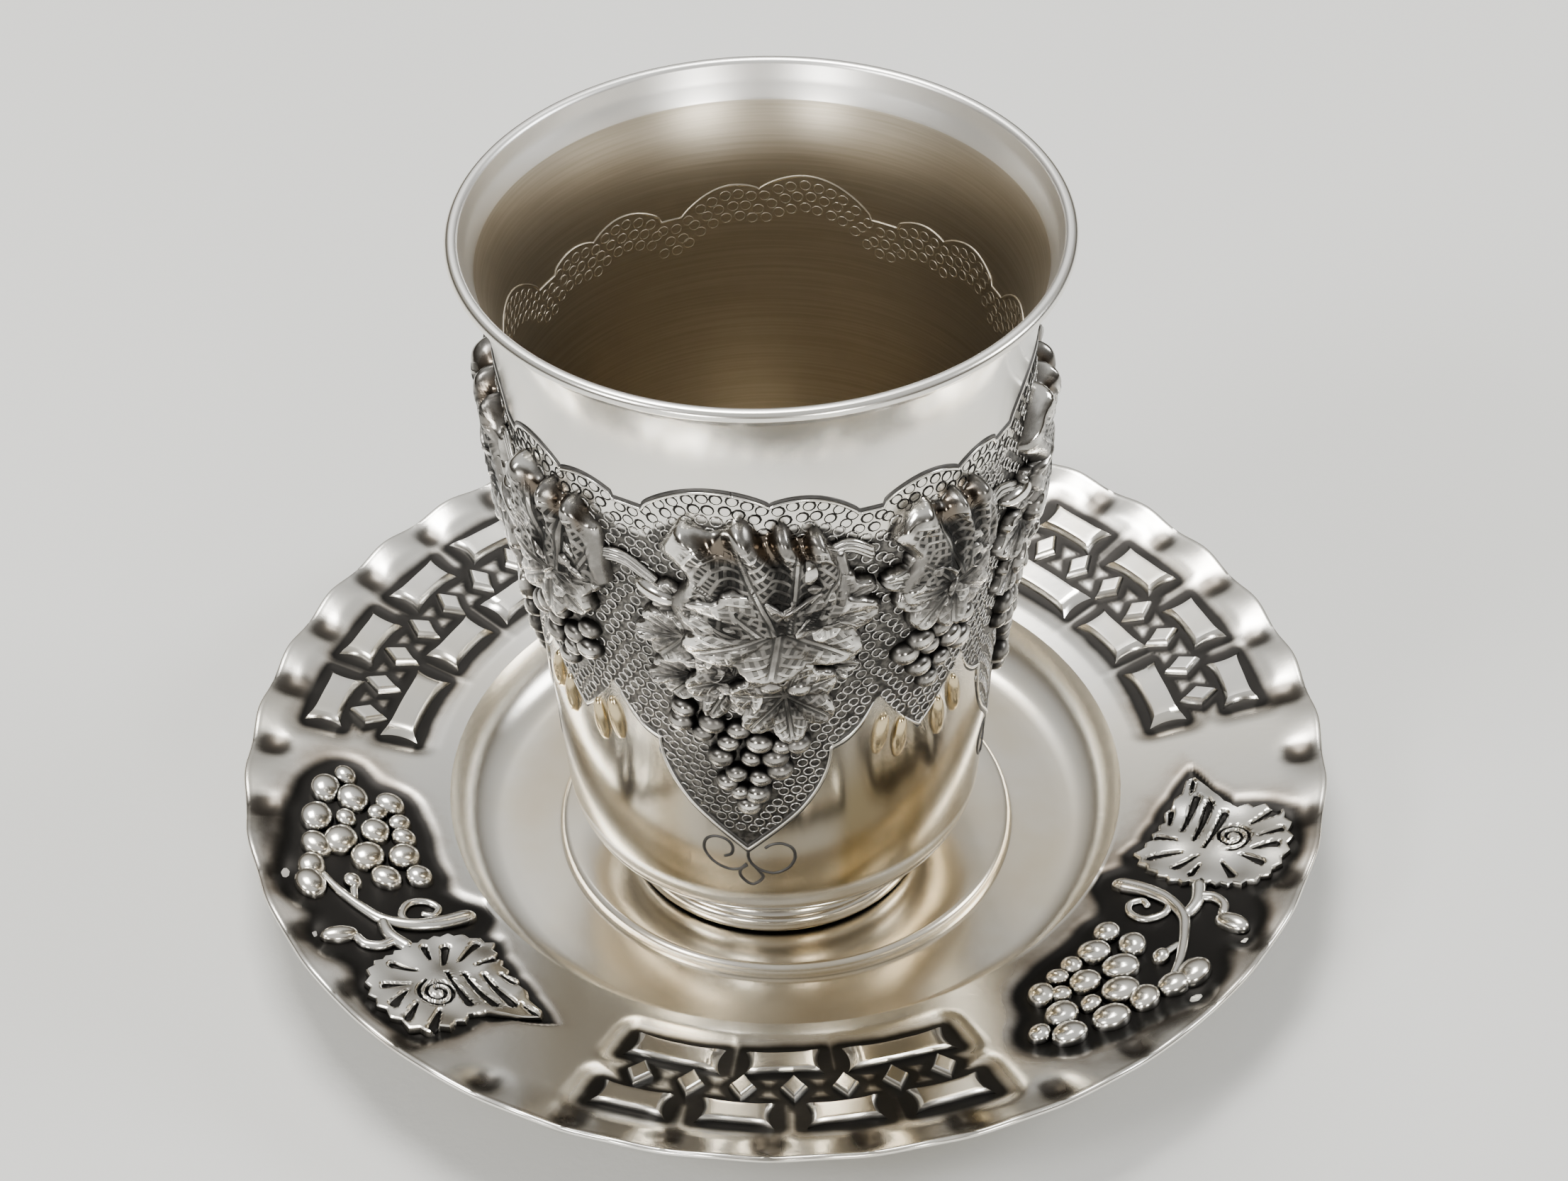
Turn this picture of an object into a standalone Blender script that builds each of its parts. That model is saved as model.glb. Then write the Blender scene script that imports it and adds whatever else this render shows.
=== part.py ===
"""Kiddush cup standing on its matching saucer, both pressed from silver sheet.

The cup is a straight beaker with a flared lip, a short ring foot and a belt of vine leaves and
grapes. The saucer has a scalloped edge, three vine sprays and three rows of raised strokes.
Sizes are in millimetres at the top, and the mesh is in metres. +Z is up, and the origin is the
centre of the saucer's underside.
"""
import math

import bmesh
import bpy
import numpy as np

MM = 0.001

# Saucer
SAUCER_DIAMETER = 130.0
SAUCER_SHEET = 0.8
SAUCER_FLOOR_RADIUS = 34.8
SAUCER_WELL_RADIUS = 40.7
SAUCER_WELL_DEPTH = 6.5
SAUCER_FLANGE_RISE = 5.3
COVE_SHARE = 0.98
SEAT_RADIUS = 26.6
SEAT_HEIGHT = 1.6
SEAT_SHOULDER = 1.1
SCALLOP_COUNT = 36
SCALLOP_DEPTH = 0.26
SCALLOP_SPREAD = 0.5
SCALLOP_REACH = 7.0
SCALLOP_TURN = 7.5
DENT_DEPTH = 0.35
DENT_RADIUS = 1.6
DENT_INSET = 3.0
EDGE_FADE = 1.2

# Saucer ornament, three sprays and three rows of strokes
SPRAY_COUNT = 3
SPRAY_START = 208.0
STROKES_START = 270.0
STROKE_LIFT = 0.7
GROUND_SINK = 0.55
SAUCER_LEAF_LIFT = 0.9
SAUCER_GRAPE_LIFT = 1.0
ORNAMENT_RADIUS = 52.3
SPRAY_HALF_TURN = 28.5
SPRAY_HALF_WIDTH = 9.2
STROKES_HALF_TURN = 25.0
STROKES_HALF_WIDTH = 8.0
GROUND_SOFTNESS = 0.86

# Cup
CUP_HEIGHT = 88.8
CUP_WALL = 0.8
CUP_SHIFT_X = -1.25
CUP_SHIFT_Y = -4.45
LIP_RADIUS = 33.3
LIP_ROLL = 0.75
FLARE_POWER = 2.2
NECK_RADIUS = 28.7
NECK_HEIGHT = 73.0
WAIST_RADIUS = 24.4
WAIST_HEIGHT = 13.0
BOWL_EDGE_HEIGHT = 10.2
BOWL_EDGE_ROUND = 0.5
EDGE_BEAD = 0.45
SPOOL_TOP_RADIUS = 22.6
SPOOL_RADIUS = 16.9
SPOOL_HEIGHT = 4.2
FOOT_RADIUS = 17.9
FOOT_HEIGHT = 2.3
FOOT_WIDTH = 1.8
FOOT_RECESS = 8.6
EDGE_GROOVE = 0.3
INNER_CORNER = 2.6
SEAT_GAP = 0.3

# Belt of ornament round the cup
BELT_BASE = 20.7
BELT_HEIGHT = 55.0
BUNCH_COUNT = 4
BUNCH_TURN = -7.0
BUNCH_SWELL = 2.1
SMALL_SWELL = 1.7
BUNCH_HALF_WIDTH = 8.0
BUNCH_MIDDLE = 0.67
BUNCH_HALF_HEIGHT = 0.25
LEAF_LIFT = 1.0
GRAPE_LIFT = 1.1
FLUTE_DEPTH = 0.8
DROP_LIFT = 0.6
DROP_HALF_WIDTH = 1.2
LOBE_PITCH = 52.0

# Mesh fineness before and after thinning
CUP_COLUMNS = 300
SAUCER_COLUMNS = 540
ROW_STEP = 0.6
CUP_TRIANGLES = 4800
SAUCER_TRIANGLES = 5100
FLAT_TOLERANCE = 0.03

# Leaves of the belt: turn in degrees, height and radius as shares of the belt, tip's direction, lift
LARGE_LEAVES = (
    (-15.5, 0.615, 0.070, 190.0, 0.5),
    (-14.0, 0.500, 0.066, 215.0, 0.5),
    (19.0, 0.735, 0.066, 20.0, 0.6),
    (-5.0, 0.490, 0.088, 240.0, 0.7),
    (11.0, 0.450, 0.092, 290.0, 0.7),
    (6.5, 0.680, 0.150, 250.0, 1.0),
)
SMALL_LEAVES = (
    (-7.5, 0.750, 0.092, 160.0, 0.6),
    (12.0, 0.750, 0.080, 20.0, 0.6),
    (2.0, 0.655, 0.105, 270.0, 0.9),
)
# Grapes of the belt: turn in degrees and height as a share of the belt
LARGE_GRAPES = (
    (-13.0, 0.415), (-14.0, 0.372), (-9.0, 0.355), (-6.0, 0.391), (-1.0, 0.378), (-3.0, 0.335),
    (4.0, 0.344), (8.5, 0.325), (-5.5, 0.290), (1.0, 0.294), (-2.0, 0.245), (4.5, 0.245),
    (-2.0, 0.205), (3.0, 0.200), (0.0, 0.162), (8.0, 0.510), (4.5, 0.485), (11.5, 0.485),
)
SMALL_GRAPES = (
    (-2.5, 0.555), (4.0, 0.560), (9.5, 0.550), (-7.0, 0.525), (-0.5, 0.510), (5.5, 0.508),
    (-3.5, 0.470), (2.5, 0.462), (-0.5, 0.420),
)
GRAPE_SHARE = 0.0235
# Fluted fans above the leaves: turn, height of the root, reach as a share, spread, flutes
LARGE_FAN = (4.5, 0.760, 0.155, 62.0, 7)
SMALL_FAN = (3.5, 0.740, 0.185, 40.0, 5)
# Drops hanging under the small bunches: turn from the bunch, height and length as shares
DROPS = ((-11.5, 0.300, 0.070), (-6.0, 0.270, 0.070), (6.0, 0.270, 0.070), (11.5, 0.300, 0.070))

# Saucer spray: turn from the spray's middle in degrees, radius and size in millimetres
SPRAY_GRAPES = (
    (-7.6, 59.2, 2.1), (-12.2, 57.9, 2.1), (-18.8, 56.6, 2.2), (-24.4, 54.9, 2.1), (-14.6, 54.2, 2.3),
    (-22.4, 52.0, 2.2), (-11.2, 51.6, 2.3), (-6.8, 50.4, 2.0), (-16.6, 50.4, 2.1), (-21.2, 48.1, 2.0),
    (-10.6, 47.4, 2.2), (-6.2, 46.6, 1.9), (-15.6, 46.9, 1.8),
)
SPRAY_LEAVES = ((13.6, 55.6, 7.2, 62.0), (15.0, 50.6, 8.6, -12.0))
SPRAY_STEMS = (
    ((-9.5, 57.6), (-2.0, 54.7), (3.0, 50.4), (4.2, 43.8)),
    ((0.6, 53.4), (7.2, 52.8)),
    ((4.6, 53.6), (3.9, 57.0), (1.4, 59.0)),
    ((2.8, 50.8), (-1.4, 49.4), (-1.0, 47.3), (0.8, 46.5), (1.6, 48.2)),
)
STEM_WIDTH = 0.8
# Rows of strokes: along the arc, across it, half length, half width
STROKES = (
    (-16.3, 4.6, 4.0, 1.8), (-5.6, 4.6, 4.0, 1.8), (5.3, 4.6, 4.0, 1.8), (16.1, 4.6, 4.2, 1.8),
    (-14.2, -4.6, 6.1, 1.8), (-0.9, -4.6, 4.9, 1.8), (13.3, -4.6, 6.9, 1.8),
)
SPINDLES = (-17.0, -11.2, -5.4, 0.3, 6.0, 11.6, 17.2)
SPINDLE_HALF = (0.9, 2.5)


def smooth(low, high, value):
    """Smooth step from 0 at low to 1 at high."""
    share = np.clip((value - low) / (high - low), 0.0, 1.0)
    return share * share * (3.0 - 2.0 * share)


def wrap_degrees(angle, period=360.0):
    """Angle brought to plus or minus half of the period."""
    return (angle + period / 2) % period - period / 2


def leaf_radius(theta, size):
    """Outline of a five-lobed vine leaf, theta in degrees from its tip."""
    theta = wrap_degrees(theta)
    lobes = 0.60 + 0.40 * np.abs(np.cos(np.radians(theta * 180.0 / LOBE_PITCH))) ** 1.4
    notch = 1.0 - 0.55 * smooth(128.0, 180.0, np.abs(theta))
    return size * lobes * notch


def leaf_height(across, up, size, tip):
    """Share of a leaf's lift at a point, with soft edges and pillows between its veins."""
    distance = np.hypot(across, up)
    theta = np.degrees(np.arctan2(up, across)) - tip
    inside = leaf_radius(theta, size) - distance
    edge = smooth(-0.15, 0.75, inside)
    vein = 0.30 * np.abs(np.cos(np.radians(theta * 180.0 / LOBE_PITCH))) ** 6
    return edge * (1.0 - vein * smooth(0.1, 0.5, distance / size))


def dome(across, up, radius):
    """Half ball of unit height."""
    return np.sqrt(np.clip(1.0 - (across ** 2 + up ** 2) / radius ** 2, 0.0, None))


def segment_distance(x, y, start, end):
    """Distance of points to a straight piece of line."""
    dx, dy = end[0] - start[0], end[1] - start[1]
    share = np.clip(((x - start[0]) * dx + (y - start[1]) * dy) / (dx * dx + dy * dy), 0.0, 1.0)
    return np.hypot(x - start[0] - share * dx, y - start[1] - share * dy)


def cup_radius(height):
    """Outer radius of the plain cup above its foot, at heights from the cup's base."""
    slope = (NECK_RADIUS - WAIST_RADIUS) / (NECK_HEIGHT - WAIST_HEIGHT)
    wall = WAIST_RADIUS + slope * (height - WAIST_HEIGHT)
    flare_rise = np.clip((height - NECK_HEIGHT) / (CUP_HEIGHT - NECK_HEIGHT), 0.0, 1.0)
    straight_lip = NECK_RADIUS + slope * (CUP_HEIGHT - NECK_HEIGHT)
    wall = wall + (LIP_RADIUS - straight_lip) * flare_rise ** FLARE_POWER
    turn = np.clip((WAIST_HEIGHT - height) / (WAIST_HEIGHT - BOWL_EDGE_HEIGHT), 0.0, 1.0)
    return wall - BOWL_EDGE_ROUND * turn ** 2


def bunch_relief(turn, rise, leaves, grapes, fan, swell):
    """Lift of one bunch of leaves and grapes, turn in degrees from its middle."""
    radius = cup_radius(BELT_BASE + 0.5 * BELT_HEIGHT)
    per_degree = radius * math.pi / 180.0
    across = turn * per_degree
    up = rise * BELT_HEIGHT
    body = np.exp(-(across / BUNCH_HALF_WIDTH) ** 2 - ((rise - BUNCH_MIDDLE) / BUNCH_HALF_HEIGHT) ** 2)
    lift = swell * body
    total = lift.copy()
    for turn_at, share, reach, tip, rise_by in leaves:
        size = reach * BELT_HEIGHT
        shape = leaf_height(across - turn_at * per_degree, up - share * BELT_HEIGHT, size, tip)
        total = np.maximum(total, (lift + rise_by * LEAF_LIFT + 0.3) * shape)
    turn_at, share, reach, spread, count = fan
    x = across - turn_at * per_degree
    y = up - share * BELT_HEIGHT
    angle = np.degrees(np.arctan2(x, y + 0.35 * reach * BELT_HEIGHT))
    far = np.hypot(x, y + 0.35 * reach * BELT_HEIGHT) / (reach * BELT_HEIGHT)
    inside = smooth(spread, spread - 7.0, np.abs(angle)) * smooth(0.25, 0.40, far) * smooth(1.42, 1.30, far)
    flutes = 1.0 + FLUTE_DEPTH * 0.5 * np.cos(np.radians(angle / spread * 180.0 * (count - 1) / 2))
    total = np.maximum(total, (lift * 0.7 + LEAF_LIFT * flutes) * inside)
    grape = GRAPE_SHARE * BELT_HEIGHT
    for turn_at, share in grapes:
        ball = dome(across - turn_at * per_degree, up - share * BELT_HEIGHT, grape)
        total = np.maximum(total, (0.8 * lift + GRAPE_LIFT * ball + 0.25) * (ball > 0))
    return total


def belt_relief(azimuth, height):
    """Lift of the cup's ornament, azimuth in degrees from the front, height from the cup's base."""
    rise = (height - BELT_BASE) / BELT_HEIGHT
    period = 360.0 / BUNCH_COUNT
    large = wrap_degrees(azimuth - BUNCH_TURN, period)
    small = wrap_degrees(azimuth - BUNCH_TURN - period / 2, period)
    total = bunch_relief(large, rise, LARGE_LEAVES, LARGE_GRAPES, LARGE_FAN, BUNCH_SWELL)
    side = bunch_relief(small, rise, SMALL_LEAVES, SMALL_GRAPES, SMALL_FAN, SMALL_SWELL)
    total = np.maximum(total, side)
    per_degree = cup_radius(BELT_BASE + 0.3 * BELT_HEIGHT) * math.pi / 180.0
    for turn_at, share, length in DROPS:
        across = (small - turn_at) * per_degree
        up = (rise - share) * BELT_HEIGHT
        reach = length * BELT_HEIGHT
        drop = np.clip(1.0 - (across / DROP_HALF_WIDTH) ** 2 - (up / reach) ** 2, 0.0, None)
        total = np.maximum(total, DROP_LIFT * np.sqrt(drop))
    return total * smooth(0.0, 0.03, rise) * smooth(1.0, 0.97, rise)


def bar_shape(along, across, half_length, half_width):
    """Flat-topped bar whose ends flare, from 0 outside to 1 on top."""
    flare = half_width * (1.0 + 0.25 * (along / half_length) ** 4)
    ends = half_length - 0.5 * (1.0 - (across / half_width) ** 2)
    return smooth(-0.1, 0.55, np.minimum(flare - np.abs(across), ends - np.abs(along)))


def stroke_relief(turn, radius):
    """Lift of one row of strokes on the flange, and where its ground is sunk."""
    along = turn * math.pi / 180.0 * ORNAMENT_RADIUS
    across = radius - ORNAMENT_RADIUS
    shape = np.zeros_like(along)
    for mid, side, half_length, half_width in STROKES:
        shape = np.maximum(shape, bar_shape(along - mid, across - side, half_length, half_width))
    for mid in SPINDLES:
        narrow, tall = SPINDLE_HALF
        diamond = 1.0 - np.abs(along - mid) / narrow - np.abs(across) / tall
        shape = np.maximum(shape, smooth(-0.05, 0.5, diamond))
    return shape


def spray_relief(turn, radius):
    """Lift of one vine spray on the flange: grapes, leaves and stems."""
    per_degree = math.pi / 180.0 * ORNAMENT_RADIUS
    along = turn * per_degree
    total = np.zeros_like(along)
    for turn_at, radius_at, size in SPRAY_GRAPES:
        ball = dome(along - turn_at * per_degree, radius - radius_at, size)
        total = np.maximum(total, SAUCER_GRAPE_LIFT * (0.35 + ball) * (ball > 0))
    for turn_at, radius_at, size, tip in SPRAY_LEAVES:
        shape = leaf_height(along - turn_at * per_degree, radius - radius_at, size, tip)
        total = np.maximum(total, SAUCER_LEAF_LIFT * shape)
    for stem in SPRAY_STEMS:
        for start, end in zip(stem[:-1], stem[1:]):
            first = (start[0] * per_degree, start[1])
            last = (end[0] * per_degree, end[1])
            far = segment_distance(along, radius, first, last) / STEM_WIDTH
            total = np.maximum(total, SAUCER_LEAF_LIFT * np.sqrt(np.clip(1.0 - far ** 2, 0.0, None)))
    return total


def flange_relief(azimuth, radius):
    """Lift of the saucer's flange, azimuth in degrees anticlockwise from +X."""
    period = 360.0 / SPRAY_COUNT
    spray = wrap_degrees(azimuth - SPRAY_START, period)
    strokes = wrap_degrees(azimuth - STROKES_START, period)
    across = radius - ORNAMENT_RADIUS
    oval = (spray / SPRAY_HALF_TURN) ** 4 + (across / SPRAY_HALF_WIDTH) ** 4
    panel = (strokes / STROKES_HALF_TURN) ** 6 + (across / STROKES_HALF_WIDTH) ** 6
    ground = smooth(1.0, GROUND_SOFTNESS, oval)
    writing = smooth(1.0, GROUND_SOFTNESS, panel)
    lift = spray_relief(spray, radius) * (ground > 0) + STROKE_LIFT * stroke_relief(strokes, radius) * writing
    dents = wrap_degrees(azimuth - SCALLOP_TURN, 360.0 / SCALLOP_COUNT) * math.pi / 180.0 * radius
    dent_at = SAUCER_DIAMETER / 2 - DENT_INSET
    dent = np.exp(-(dents / DENT_RADIUS) ** 2 - ((radius - dent_at) / DENT_RADIUS) ** 2)
    return lift - GROUND_SINK * np.maximum(ground, writing) - DENT_DEPTH * dent


def stations(points, step):
    """Profile points closer than a step, along straight pieces between the given ones."""
    path = [points[0]]
    for start, end in zip(points[:-1], points[1:]):
        count = max(1, math.ceil(math.dist(start, end) / step))
        for index in range(1, count + 1):
            share = index / count
            path.append((start[0] + share * (end[0] - start[0]), start[1] + share * (end[1] - start[1])))
    return path


def turned(name, profile, columns):
    """Mesh of a profile, radius and height in millimetres, turned about the Z axis."""
    mesh = bpy.data.meshes.new(name)
    points = [(radius * MM, 0.0, height * MM) for radius, height in profile]
    mesh.from_pydata(points, [(i, i + 1) for i in range(len(points) - 1)], [])
    guide = bpy.data.objects.new(name, mesh)
    bpy.context.scene.collection.objects.link(guide)
    screw = guide.modifiers.new("Turn", "SCREW")
    screw.steps = columns
    screw.render_steps = columns
    screw.use_merge_vertices = True
    screw.merge_threshold = 0.00001
    graph = bpy.context.evaluated_depsgraph_get()
    result = bpy.data.meshes.new_from_object(guide.evaluated_get(graph))
    bpy.data.objects.remove(guide)
    bpy.data.meshes.remove(mesh)
    return result


def move_points(mesh, shape):
    """Replace the mesh's points by shape(points), points in millimetres."""
    flat = np.empty(len(mesh.vertices) * 3)
    mesh.vertices.foreach_get("co", flat)
    points = shape(flat.reshape(-1, 3) / MM)
    mesh.vertices.foreach_set("co", (points * MM).ravel())
    mesh.update()


def thinned(mesh, triangles):
    """Mesh with about the given number of triangles, flat and plain areas thinned the most."""
    helper = bpy.data.objects.new("helper", mesh)
    bpy.context.scene.collection.objects.link(helper)
    present = sum(len(face.vertices) - 2 for face in mesh.polygons)
    thin = helper.modifiers.new("Thin", "DECIMATE")
    thin.ratio = min(1.0, triangles / present)
    thin.use_collapse_triangulate = True
    graph = bpy.context.evaluated_depsgraph_get()
    result = bpy.data.meshes.new_from_object(helper.evaluated_get(graph))
    bpy.data.objects.remove(helper)
    return result


def flatten(points, heights):
    """Points that lie within the tolerance of a flat height are put on it exactly."""
    for height in heights:
        near = np.abs(points[:, 2] - height) < FLAT_TOLERANCE
        points[near, 2] = height
    return points


def silver(name, color, roughness):
    """Silver finish for one piece."""
    material = bpy.data.materials.new(name)
    material.use_nodes = True
    shader = material.node_tree.nodes["Principled BSDF"]
    shader.inputs["Base Color"].default_value = (*color, 1.0)
    shader.inputs["Metallic"].default_value = 1.0
    shader.inputs["Roughness"].default_value = roughness
    return material


def add_piece(name, mesh, material, collection, location):
    """Named object for a finished piece."""
    mesh.materials.clear()
    mesh.materials.append(material)
    mesh.shade_smooth()
    mesh.set_sharp_from_angle(angle=math.radians(40))
    piece = bpy.data.objects.new(name, mesh)
    piece.location = location
    collection.objects.link(piece)
    return piece


def saucer_top(radius):
    """Height of the saucer's upper surface at a radius."""
    floor = SAUCER_SHEET
    if radius <= SEAT_RADIUS:
        return floor + SEAT_HEIGHT
    if radius <= SEAT_RADIUS + SEAT_SHOULDER:
        share = (radius - SEAT_RADIUS) / SEAT_SHOULDER
        return floor + SEAT_HEIGHT * math.sqrt(max(0.0, 1.0 - share ** 2))
    if radius <= SAUCER_FLOOR_RADIUS:
        return floor
    if radius <= SAUCER_WELL_RADIUS:
        share = (radius - SAUCER_FLOOR_RADIUS) / (SAUCER_WELL_RADIUS - SAUCER_FLOOR_RADIUS)
        steepest = 1.0 - math.sqrt(1.0 - COVE_SHARE)
        return floor + SAUCER_WELL_DEPTH * (1.0 - math.sqrt(1.0 - COVE_SHARE * share ** 2)) / steepest
    share = (radius - SAUCER_WELL_RADIUS) / (SAUCER_DIAMETER / 2 - SAUCER_WELL_RADIUS)
    return floor + SAUCER_WELL_DEPTH + SAUCER_FLANGE_RISE * share


def saucer_profile():
    """Profile of the saucer from the middle of its top, round the edge, to the middle below."""
    edge = SAUCER_DIAMETER / 2
    shoulder = [SEAT_RADIUS + SEAT_SHOULDER * share for share in (0.0, 0.4, 0.75, 0.92, 1.0)]
    cove_width = SAUCER_WELL_RADIUS - SAUCER_FLOOR_RADIUS
    cove = [SAUCER_FLOOR_RADIUS + cove_width * share for share in (0.0, 0.35, 0.6, 0.8, 0.93, 1.0)]
    top = [(radius, saucer_top(radius)) for radius in [0.0] + shoulder + cove]
    top += stations([(SAUCER_WELL_RADIUS + 0.8, saucer_top(SAUCER_WELL_RADIUS + 0.8)),
                     (edge, saucer_top(edge))], ROW_STEP)
    inset = SAUCER_SHEET * 0.6
    below = [(SAUCER_WELL_RADIUS + inset * 2, saucer_top(SAUCER_WELL_RADIUS) - SAUCER_SHEET)]
    below += [(radius + inset, saucer_top(radius) - SAUCER_SHEET) for radius in reversed(cove[1:-1])]
    below += [(SAUCER_FLOOR_RADIUS, 0.0), (SEAT_RADIUS + SEAT_SHOULDER, 0.0)]
    below += [(SEAT_RADIUS - 0.2, SEAT_HEIGHT), (0.0, SEAT_HEIGHT)]
    middle = [(edge, saucer_top(edge) - SAUCER_SHEET)]
    outer = stations(middle + below[:1], ROW_STEP * 3)
    return top + outer + below[1:]


def saucer_shape(points):
    """Scallops the edge and raises the ornament of a turned saucer."""
    radius = np.hypot(points[:, 0], points[:, 1])
    azimuth = np.degrees(np.arctan2(points[:, 1], points[:, 0]))
    edge = SAUCER_DIAMETER / 2
    reach = smooth(edge - SCALLOP_REACH, edge, radius)
    wave = -SCALLOP_DEPTH * np.cos(np.radians((azimuth - SCALLOP_TURN) * SCALLOP_COUNT)) * reach
    slope = SAUCER_FLANGE_RISE / (edge - SAUCER_WELL_RADIUS)
    plain = SAUCER_SHEET + SAUCER_WELL_DEPTH + slope * (radius - SAUCER_WELL_RADIUS)
    is_flange = radius > SAUCER_WELL_RADIUS + 1.6
    on_top = is_flange & (points[:, 2] > plain - 0.5 * SAUCER_SHEET)
    lift = np.where(on_top, flange_relief(azimuth, radius), 0.0)
    lift = np.where(is_flange & ~on_top, np.minimum(flange_relief(azimuth, radius), 0.0), lift)
    edge_fade = smooth(edge, edge - EDGE_FADE, radius)
    scale = 1.0 + SCALLOP_SPREAD * (wave - SCALLOP_DEPTH * reach) / np.maximum(radius, 1.0)
    moved = points.copy()
    moved[:, 0] *= scale
    moved[:, 1] *= scale
    moved[:, 2] += lift * edge_fade + wave
    return moved


def make_saucer(collection):
    """Saucer with its raised seat, cove, flange ornament and scalloped edge."""
    mesh = turned("saucer", saucer_profile(), SAUCER_COLUMNS)
    move_points(mesh, saucer_shape)
    mesh = thinned(mesh, SAUCER_TRIANGLES)
    flats = (0.0, SEAT_HEIGHT, SAUCER_SHEET, SAUCER_SHEET + SEAT_HEIGHT)
    move_points(mesh, lambda points: flatten(points, flats))
    material = silver("saucer silver", (0.80, 0.77, 0.70), 0.22)
    return add_piece("saucer", mesh, material, collection, (0.0, 0.0, 0.0))


def spool_point(share, inset):
    """Point on the concave spool between the foot and the bowl, moved in by an inset."""
    angle = share * math.pi / 2
    width = SPOOL_TOP_RADIUS - SPOOL_RADIUS
    rise = BOWL_EDGE_HEIGHT - 2 * EDGE_BEAD - SPOOL_HEIGHT
    return SPOOL_RADIUS + width * (1.0 - math.cos(angle)) - inset, SPOOL_HEIGHT + rise * math.sin(angle)


def cup_profile():
    """Profile of the cup from the middle of its inner floor, over the lip, to the foot's recess."""
    floor = FOOT_RECESS + CUP_WALL
    top = CUP_HEIGHT - LIP_ROLL
    inside = WAIST_RADIUS - CUP_WALL
    corner = (inside - 0.4 * INNER_CORNER, floor + 0.35 * INNER_CORNER)
    inner = [(0.0, floor), (inside - INNER_CORNER, floor), corner]
    for height in (floor + 0.92 * INNER_CORNER, 0.5 * NECK_HEIGHT, NECK_HEIGHT):
        inner.append((cup_radius(height) - CUP_WALL, height))
    rises = [NECK_HEIGHT + share * (top - NECK_HEIGHT) for share in (0.35, 0.6, 0.8, 0.93)]
    inner += [(cup_radius(height) - CUP_WALL, height) for height in rises]
    lip = []
    for step in range(6):
        angle = math.pi * (0.9 - step * 0.25)
        lip.append((LIP_RADIUS - LIP_ROLL + LIP_ROLL * math.cos(angle), top + LIP_ROLL * math.sin(angle)))
    wall = [(cup_radius(height), height) for height in reversed(rises)]
    heights = [height for _, height in stations([(0.0, NECK_HEIGHT), (0.0, BELT_BASE)], ROW_STEP)]
    belt = [(cup_radius(height), height) for height in heights]
    low = [(cup_radius(height), height) for height in (WAIST_HEIGHT, BOWL_EDGE_HEIGHT)]
    bead = cup_radius(BOWL_EDGE_HEIGHT) - EDGE_GROOVE
    low += [(bead - EDGE_GROOVE, BOWL_EDGE_HEIGHT - 0.1), (bead, BOWL_EDGE_HEIGHT - EDGE_BEAD)]
    spool = [spool_point(share, 0.0) for share in (1.0, 0.8, 0.6, 0.4, 0.2, 0.0)]
    roll = FOOT_HEIGHT / 2
    foot = []
    for step in range(5):
        angle = math.pi * (0.5 - step * 0.25)
        foot.append((FOOT_RADIUS - roll * 0.7 + roll * 0.7 * math.cos(angle), roll + roll * math.sin(angle)))
    recess = [spool_point(share, CUP_WALL) for share in (0.0, 0.3)]
    under = spool_point(0.65, CUP_WALL)[0]
    hollow = [(FOOT_RADIUS - FOOT_WIDTH, 0.0)] + recess + [(under, FOOT_RECESS), (0.0, FOOT_RECESS)]
    return inner + lip + wall + belt + low + spool + foot + hollow


def cup_shape(points):
    """Raises the ornament on the outside of a turned cup."""
    radius = np.hypot(points[:, 0], points[:, 1])
    azimuth = np.degrees(np.arctan2(points[:, 0], -points[:, 1]))
    height = points[:, 2]
    outside = radius > cup_radius(height) - 0.5 * CUP_WALL
    lift = np.where(outside, belt_relief(azimuth, height), 0.0)
    scale = 1.0 + lift / np.maximum(radius, 1.0)
    moved = points.copy()
    moved[:, 0] *= scale
    moved[:, 1] *= scale
    return moved


def make_cup(collection):
    """Cup with its flared lip, belt of ornament and ring foot."""
    mesh = turned("cup", cup_profile(), CUP_COLUMNS)
    move_points(mesh, cup_shape)
    mesh = thinned(mesh, CUP_TRIANGLES)
    flats = (0.0, FOOT_RECESS, FOOT_RECESS + CUP_WALL)
    move_points(mesh, lambda points: flatten(points, flats))
    material = silver("cup silver", (0.82, 0.80, 0.74), 0.20)
    seat = SAUCER_SHEET + SEAT_HEIGHT + SEAT_GAP
    return add_piece("cup", mesh, material, collection, (CUP_SHIFT_X * MM, CUP_SHIFT_Y * MM, seat * MM))


def main():
    """Clear the scene and build both pieces."""
    for item in list(bpy.data.objects):
        bpy.data.objects.remove(item)
    collection = bpy.data.collections.new("kiddush cup and saucer")
    bpy.context.scene.collection.children.link(collection)
    make_saucer(collection)
    make_cup(collection)


main()
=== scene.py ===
"""Looks of a silver kiddush cup standing on its matching saucer.

The cup and the saucer are turned as fine mesh that takes the place of their plain solids. The vine leaves,
grapes, ring marks and strokes are laid on them as pieces of their own. Lengths are in millimetres until a
mesh is finished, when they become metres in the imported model's frame.
"""
import math
from contextlib import contextmanager

import bmesh
import bpy
import numpy as np
from mathutils import Matrix, Vector


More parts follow.
